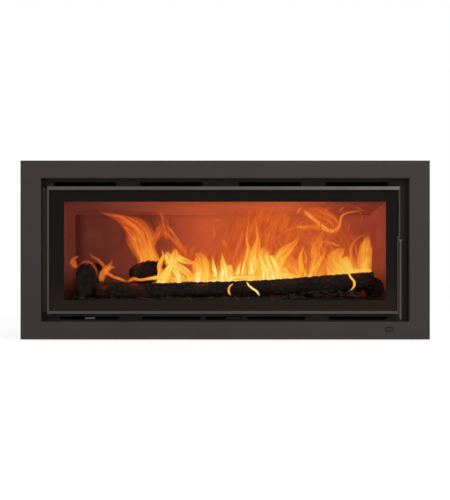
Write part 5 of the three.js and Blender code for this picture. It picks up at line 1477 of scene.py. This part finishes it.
def sideScrews(side):
    x = side * casing["half"]
    upright = [
        place(x, y, z)
        for y in (casing["front"] + 20, casing["backFace"] - 10)
        for z in (-165, -55, 55, 165)
    ]
    return upright + [place(x, y, z) for y in (150, 262) for z in (-188, 188)]


def topScrews():
    depths = (casing["front"] + 9, casing["backFace"] - 12)
    return [place(x, y, casing["topLevel"]) for y in depths for x in between(-440, 440, 7)]


def backScrews():
    rows = [place(x, casing["backFace"], z) for z in (-190, 190) for x in between(-440, 440, 7)]
    return rows + [place(side * 481, casing["backFace"], z) for side in (-1, 1) for z in (-140, -45, 45, 140)]


def flueScrews():
    angles = [math.radians(360 / flueRing["screws"] * (step + 0.5)) for step in range(flueRing["screws"])]
    ring = [(flueRing["radius"] * math.cos(angle), flueRing["radius"] * math.sin(angle)) for angle in angles]
    return [place(x, flueRing["depth"] + y, flueRing["level"]) for x, y in ring]


def clampScrews():
    depth, ends = clampLines["depth"], (clampLines["left"], clampLines["right"])
    rows = [
        place(x, depth, z)
        for z in (clampLines["low"], clampLines["high"])
        for x in between(-415, 404, 6)
    ]
    return rows + [place(x, depth, z) for x in ends for z in (-60, 60)]


quarter = math.pi / 2
screwRows = {
    "casing_screws_left": {"points": sideScrews(-1), "turn": (0, -quarter, 0), **screwSizes["casing"]},
    "casing_screws_right": {"points": sideScrews(1), "turn": (0, quarter, 0), **screwSizes["casing"]},
    "casing_screws_top": {"points": topScrews(), "turn": (0, 0, 0), **screwSizes["casing"]},
    "casing_screws_back": {"points": backScrews(), "turn": (-quarter, 0, 0), **screwSizes["casing"]},
    "flue_flange_screws": {"points": flueScrews(), "turn": (0, 0, 0), **screwSizes["flue"]},
    "glass_clamp_screws": {"points": clampScrews(), "turn": (-quarter, 0, 0), **screwSizes["clamp"]},
}
for name, row in screwRows.items():
    values = {"Head Radius": row["radius"] / 1000, "Head Height": row["height"] / 1000, "Turn": row["turn"]}
    bakeTree(name, sourceObject(name + "_places", row["points"]), screws, values, row["body"])


def coalTree(look):
    # Lumps of ember strewn over the incoming surface
    tree, given, result = newTree("strewn embers", [
        ("Lumps per Square Metre", "NodeSocketFloat", 3000.0), ("Smallest", "NodeSocketFloat", 0.003),
        ("Largest", "NodeSocketFloat", 0.009), ("Seed", "NodeSocketInt", 4),
    ])
    spots = addNode(tree, "GeometryNodeDistributePointsOnFaces", {
        "Mesh": given["Geometry"], "Density": given["Lumps per Square Metre"], "Seed": given["Seed"],
    })
    lump = addNode(tree, "GeometryNodeMeshIcoSphere", {"Radius": 1.0, "Subdivisions": 2})
    size = addNode(tree, "FunctionNodeRandomValue", {
        2: given["Smallest"], 3: given["Largest"], "Seed": given["Seed"],  # the sockets for a plain number
    }, data_type="FLOAT")
    flatness = addNode(tree, "FunctionNodeRandomValue", {
        0: (0.8, 0.55, 0.4), 1: (1.5, 1.0, 0.75),
    }, data_type="FLOAT_VECTOR")
    scale = addNode(tree, "ShaderNodeVectorMath", {
        0: flatness, "Scale": size.outputs[1],
    }, operation="SCALE")
    spin = addNode(tree, "FunctionNodeRandomValue", {
        0: (-0.3, -0.3, 0.0), 1: (0.3, 0.3, 6.28),
    }, data_type="FLOAT_VECTOR")
    turn = addNode(tree, "FunctionNodeEulerToRotation", {0: spin})
    laid = addNode(tree, "GeometryNodeInstanceOnPoints", {
        "Points": spots, "Instance": lump, "Rotation": turn, "Scale": scale,
    })
    whole = addNode(tree, "GeometryNodeRealizeInstances", {0: laid})
    where = addNode(tree, "GeometryNodeInputPosition")
    rough = addNode(tree, "ShaderNodeTexNoise", {"Vector": where, "Scale": 260.0, "Detail": 2.0})
    centred = addNode(tree, "ShaderNodeVectorMath", {
        0: rough.outputs["Color"], 1: (0.5, 0.5, 0.5),
    }, operation="SUBTRACT")
    pushed = addNode(tree, "ShaderNodeVectorMath", {0: centred, "Scale": 0.005}, operation="SCALE")
    broken = addNode(tree, "GeometryNodeSetPosition", {"Geometry": whole, "Offset": pushed})
    done = addNode(tree, "GeometryNodeSetMaterial", {"Geometry": broken, "Material": look})
    setInputs(tree, result, {0: done})
    return tree


bed = {
    "half": 404.0, "front": 56.0, "back": 292.0, "floor": -139.7, "edge": 3.0, "rise": 12.0,
    "columns": 120, "rows": 16,
    # Charcoal raked against the side liners
    "rightPile": 62.0, "leftPile": 16.0, "pileLength": 56.0,
    # Charcoal banked under the front log
    "ridge": 26.0, "ridgeFrom": 120.0, "ridgeTo": 300.0, "ridgeDepth": 92.0, "ridgeHalf": 44.0,
}
emberSizes = {"Lumps per Square Metre": 6000.0, "Smallest": 0.0028, "Largest": 0.0082, "Seed": 4}


def bedSurface():
    points, faces = [], []
    for row in range(bed["rows"] + 1):
        for column in range(bed["columns"] + 1):
            x = -bed["half"] + 2 * bed["half"] * column / bed["columns"]
            y = bed["front"] + (bed["back"] - bed["front"]) * row / bed["rows"]
            heap = math.sqrt(max(0.0, math.cos(math.pi * x / 838) * math.sin(math.pi * (y - 46) / 254)))
            fromEnd = max(0.0, 1 - (bed["half"] - abs(x)) / bed["pileLength"])
            highest = bed["rightPile"] if x > 0 else bed["leftPile"]
            pile = highest * fromEnd ** 0.8 * (0.55 + 0.45 * math.sin(math.pi * row / bed["rows"]))
            along = max(0.0, min(1.0, (x - bed["ridgeFrom"]) / (bed["ridgeTo"] - bed["ridgeFrom"])))
            pile = max(
                pile, bed["ridge"] * along * math.exp(-((y - bed["ridgeDepth"]) / bed["ridgeHalf"]) ** 2),
            )
            points.append(place(x, y, bed["floor"] + bed["edge"] + bed["rise"] * heap + pile))
            if row and column:
                here = row * (bed["columns"] + 1) + column
                faces.append((here - bed["columns"] - 2, here - bed["columns"] - 1, here, here - 1))
    return sourceObject("bed surface", points, faces)


bakeTree("ember_lumps", bedSurface(), coalTree(embers), emberSizes, "body")
print("screws and embers made")


stageLook = {"white": 1.0, "near": 0.9, "far": 3.2, "lift": 0.78, "board": "#9a9a9a"}


def paleFloor():
    # A pale floor that goes white for the camera away from the object, and keeps the object's soft shadow
    material = bpy.data.materials.new("pale studio floor")
    material.use_nodes = True
    tree = material.node_tree
    tree.nodes.clear()
    where = addNode(tree, "ShaderNodeTexCoord").outputs["Object"]
    away = addNode(tree, "ShaderNodeVectorMath", {0: where}, operation="LENGTH").outputs["Value"]
    far = addNode(tree, "ShaderNodeMapRange", {
        "Value": away, "From Min": stageLook["near"], "From Max": stageLook["far"],
    }, interpolation_type="SMOOTHSTEP")
    board = addNode(tree, "ShaderNodeBsdfDiffuse", {"Color": linear(stageLook["board"])})
    lift = addNode(tree, "ShaderNodeEmission", {"Color": (1, 1, 1, 1), "Strength": stageLook["lift"]})
    lifted = addNode(tree, "ShaderNodeAddShader", {0: board, 1: lift})
    white = addNode(tree, "ShaderNodeEmission", {"Color": (1, 1, 1, 1), "Strength": stageLook["white"]})
    seen = addNode(tree, "ShaderNodeMixShader", {0: far, 1: lifted, 2: white})
    path = addNode(tree, "ShaderNodeLightPath").outputs
    direct = addNode(tree, "ShaderNodeMath", {
        0: addNode(tree, "ShaderNodeMath", {
            0: path["Is Camera Ray"], 1: path["Is Glossy Ray"],
        }, operation="MAXIMUM"),
        1: path["Is Transmission Ray"],
    }, operation="MAXIMUM")
    plain = addNode(tree, "ShaderNodeBsdfDiffuse", {"Color": linear("#e6e4e0")})
    both = addNode(tree, "ShaderNodeMixShader", {0: direct, 1: plain, 2: seen})
    addNode(tree, "ShaderNodeOutputMaterial", {0: both})
    return material


floorMesh = bpy.data.meshes.new("studio floor")
reach = 40.0
floorMesh.from_pydata([
    (-reach, -reach, 0), (reach, -reach, 0), (reach, reach, 0), (-reach, reach, 0),
], [], [(0, 1, 2, 3)])
floorMesh.materials.append(paleFloor())
floor = bpy.data.objects.new("studio floor", floorMesh)
scene.collection.objects.link(floor)

roomLight = {"ambient": 0.60, "key": 38.0, "fill": 9.0}
world = bpy.data.worlds.new("white studio")
scene.world = world
world.use_nodes = True
sky = world.node_tree
sky.nodes.clear()
rays = addNode(sky, "ShaderNodeLightPath").outputs
shown = addNode(sky, "ShaderNodeMath", {
    0: addNode(sky, "ShaderNodeMath", {
        0: rays["Is Camera Ray"], 1: rays["Is Glossy Ray"],
    }, operation="MAXIMUM"),
    1: rays["Is Transmission Ray"],
}, operation="MAXIMUM")
ambient = addNode(sky, "ShaderNodeBackground", {"Color": (1, 1, 1, 1), "Strength": roomLight["ambient"]})
backdrop = addNode(sky, "ShaderNodeBackground", {"Color": (1, 1, 1, 1), "Strength": 1.0})
addNode(sky, "ShaderNodeOutputWorld", {
    0: addNode(sky, "ShaderNodeMixShader", {0: shown, 1: ambient, 2: backdrop}),
})


def softLamp(name, location, target, size, power, color):
    lamp = bpy.data.lights.new(name, "AREA")
    lamp.shape, lamp.size, lamp.energy = "DISK", size, power
    lamp.color = linear(color)[:3]
    holder = bpy.data.objects.new(name, lamp)
    scene.collection.objects.link(holder)
    holder.location = location
    holder.rotation_euler = (Vector(target) - Vector(location)).to_track_quat("-Z", "Y").to_euler()
    return holder


softLamp("key lamp", (1.3, -2.2, 2.2), (0.1, 0, 0.25), 1.2, roomLight["key"], "#fff6ee")
softLamp("fill lamp", (-2.2, -2.4, 1.2), (0, 0, 0.2), 1.6, roomLight["fill"], "#f3f6ff")

view = {"location": (-0.0485, -2.593, 0.2315), "lens": 67.45, "shiftX": 0.0375}
camera = bpy.data.objects.new("camera", bpy.data.cameras.new("camera"))
scene.collection.objects.link(camera)
camera.location = view["location"]
camera.rotation_euler = Euler((math.pi / 2, 0, 0))
camera.data.lens = view["lens"]
camera.data.sensor_width = 36
camera.data.shift_x = view["shiftX"]
scene.camera = camera
scene.cycles.transparent_max_bounces = 32
scene.view_settings.view_transform = "Standard"
print("room, lamps and camera ready")
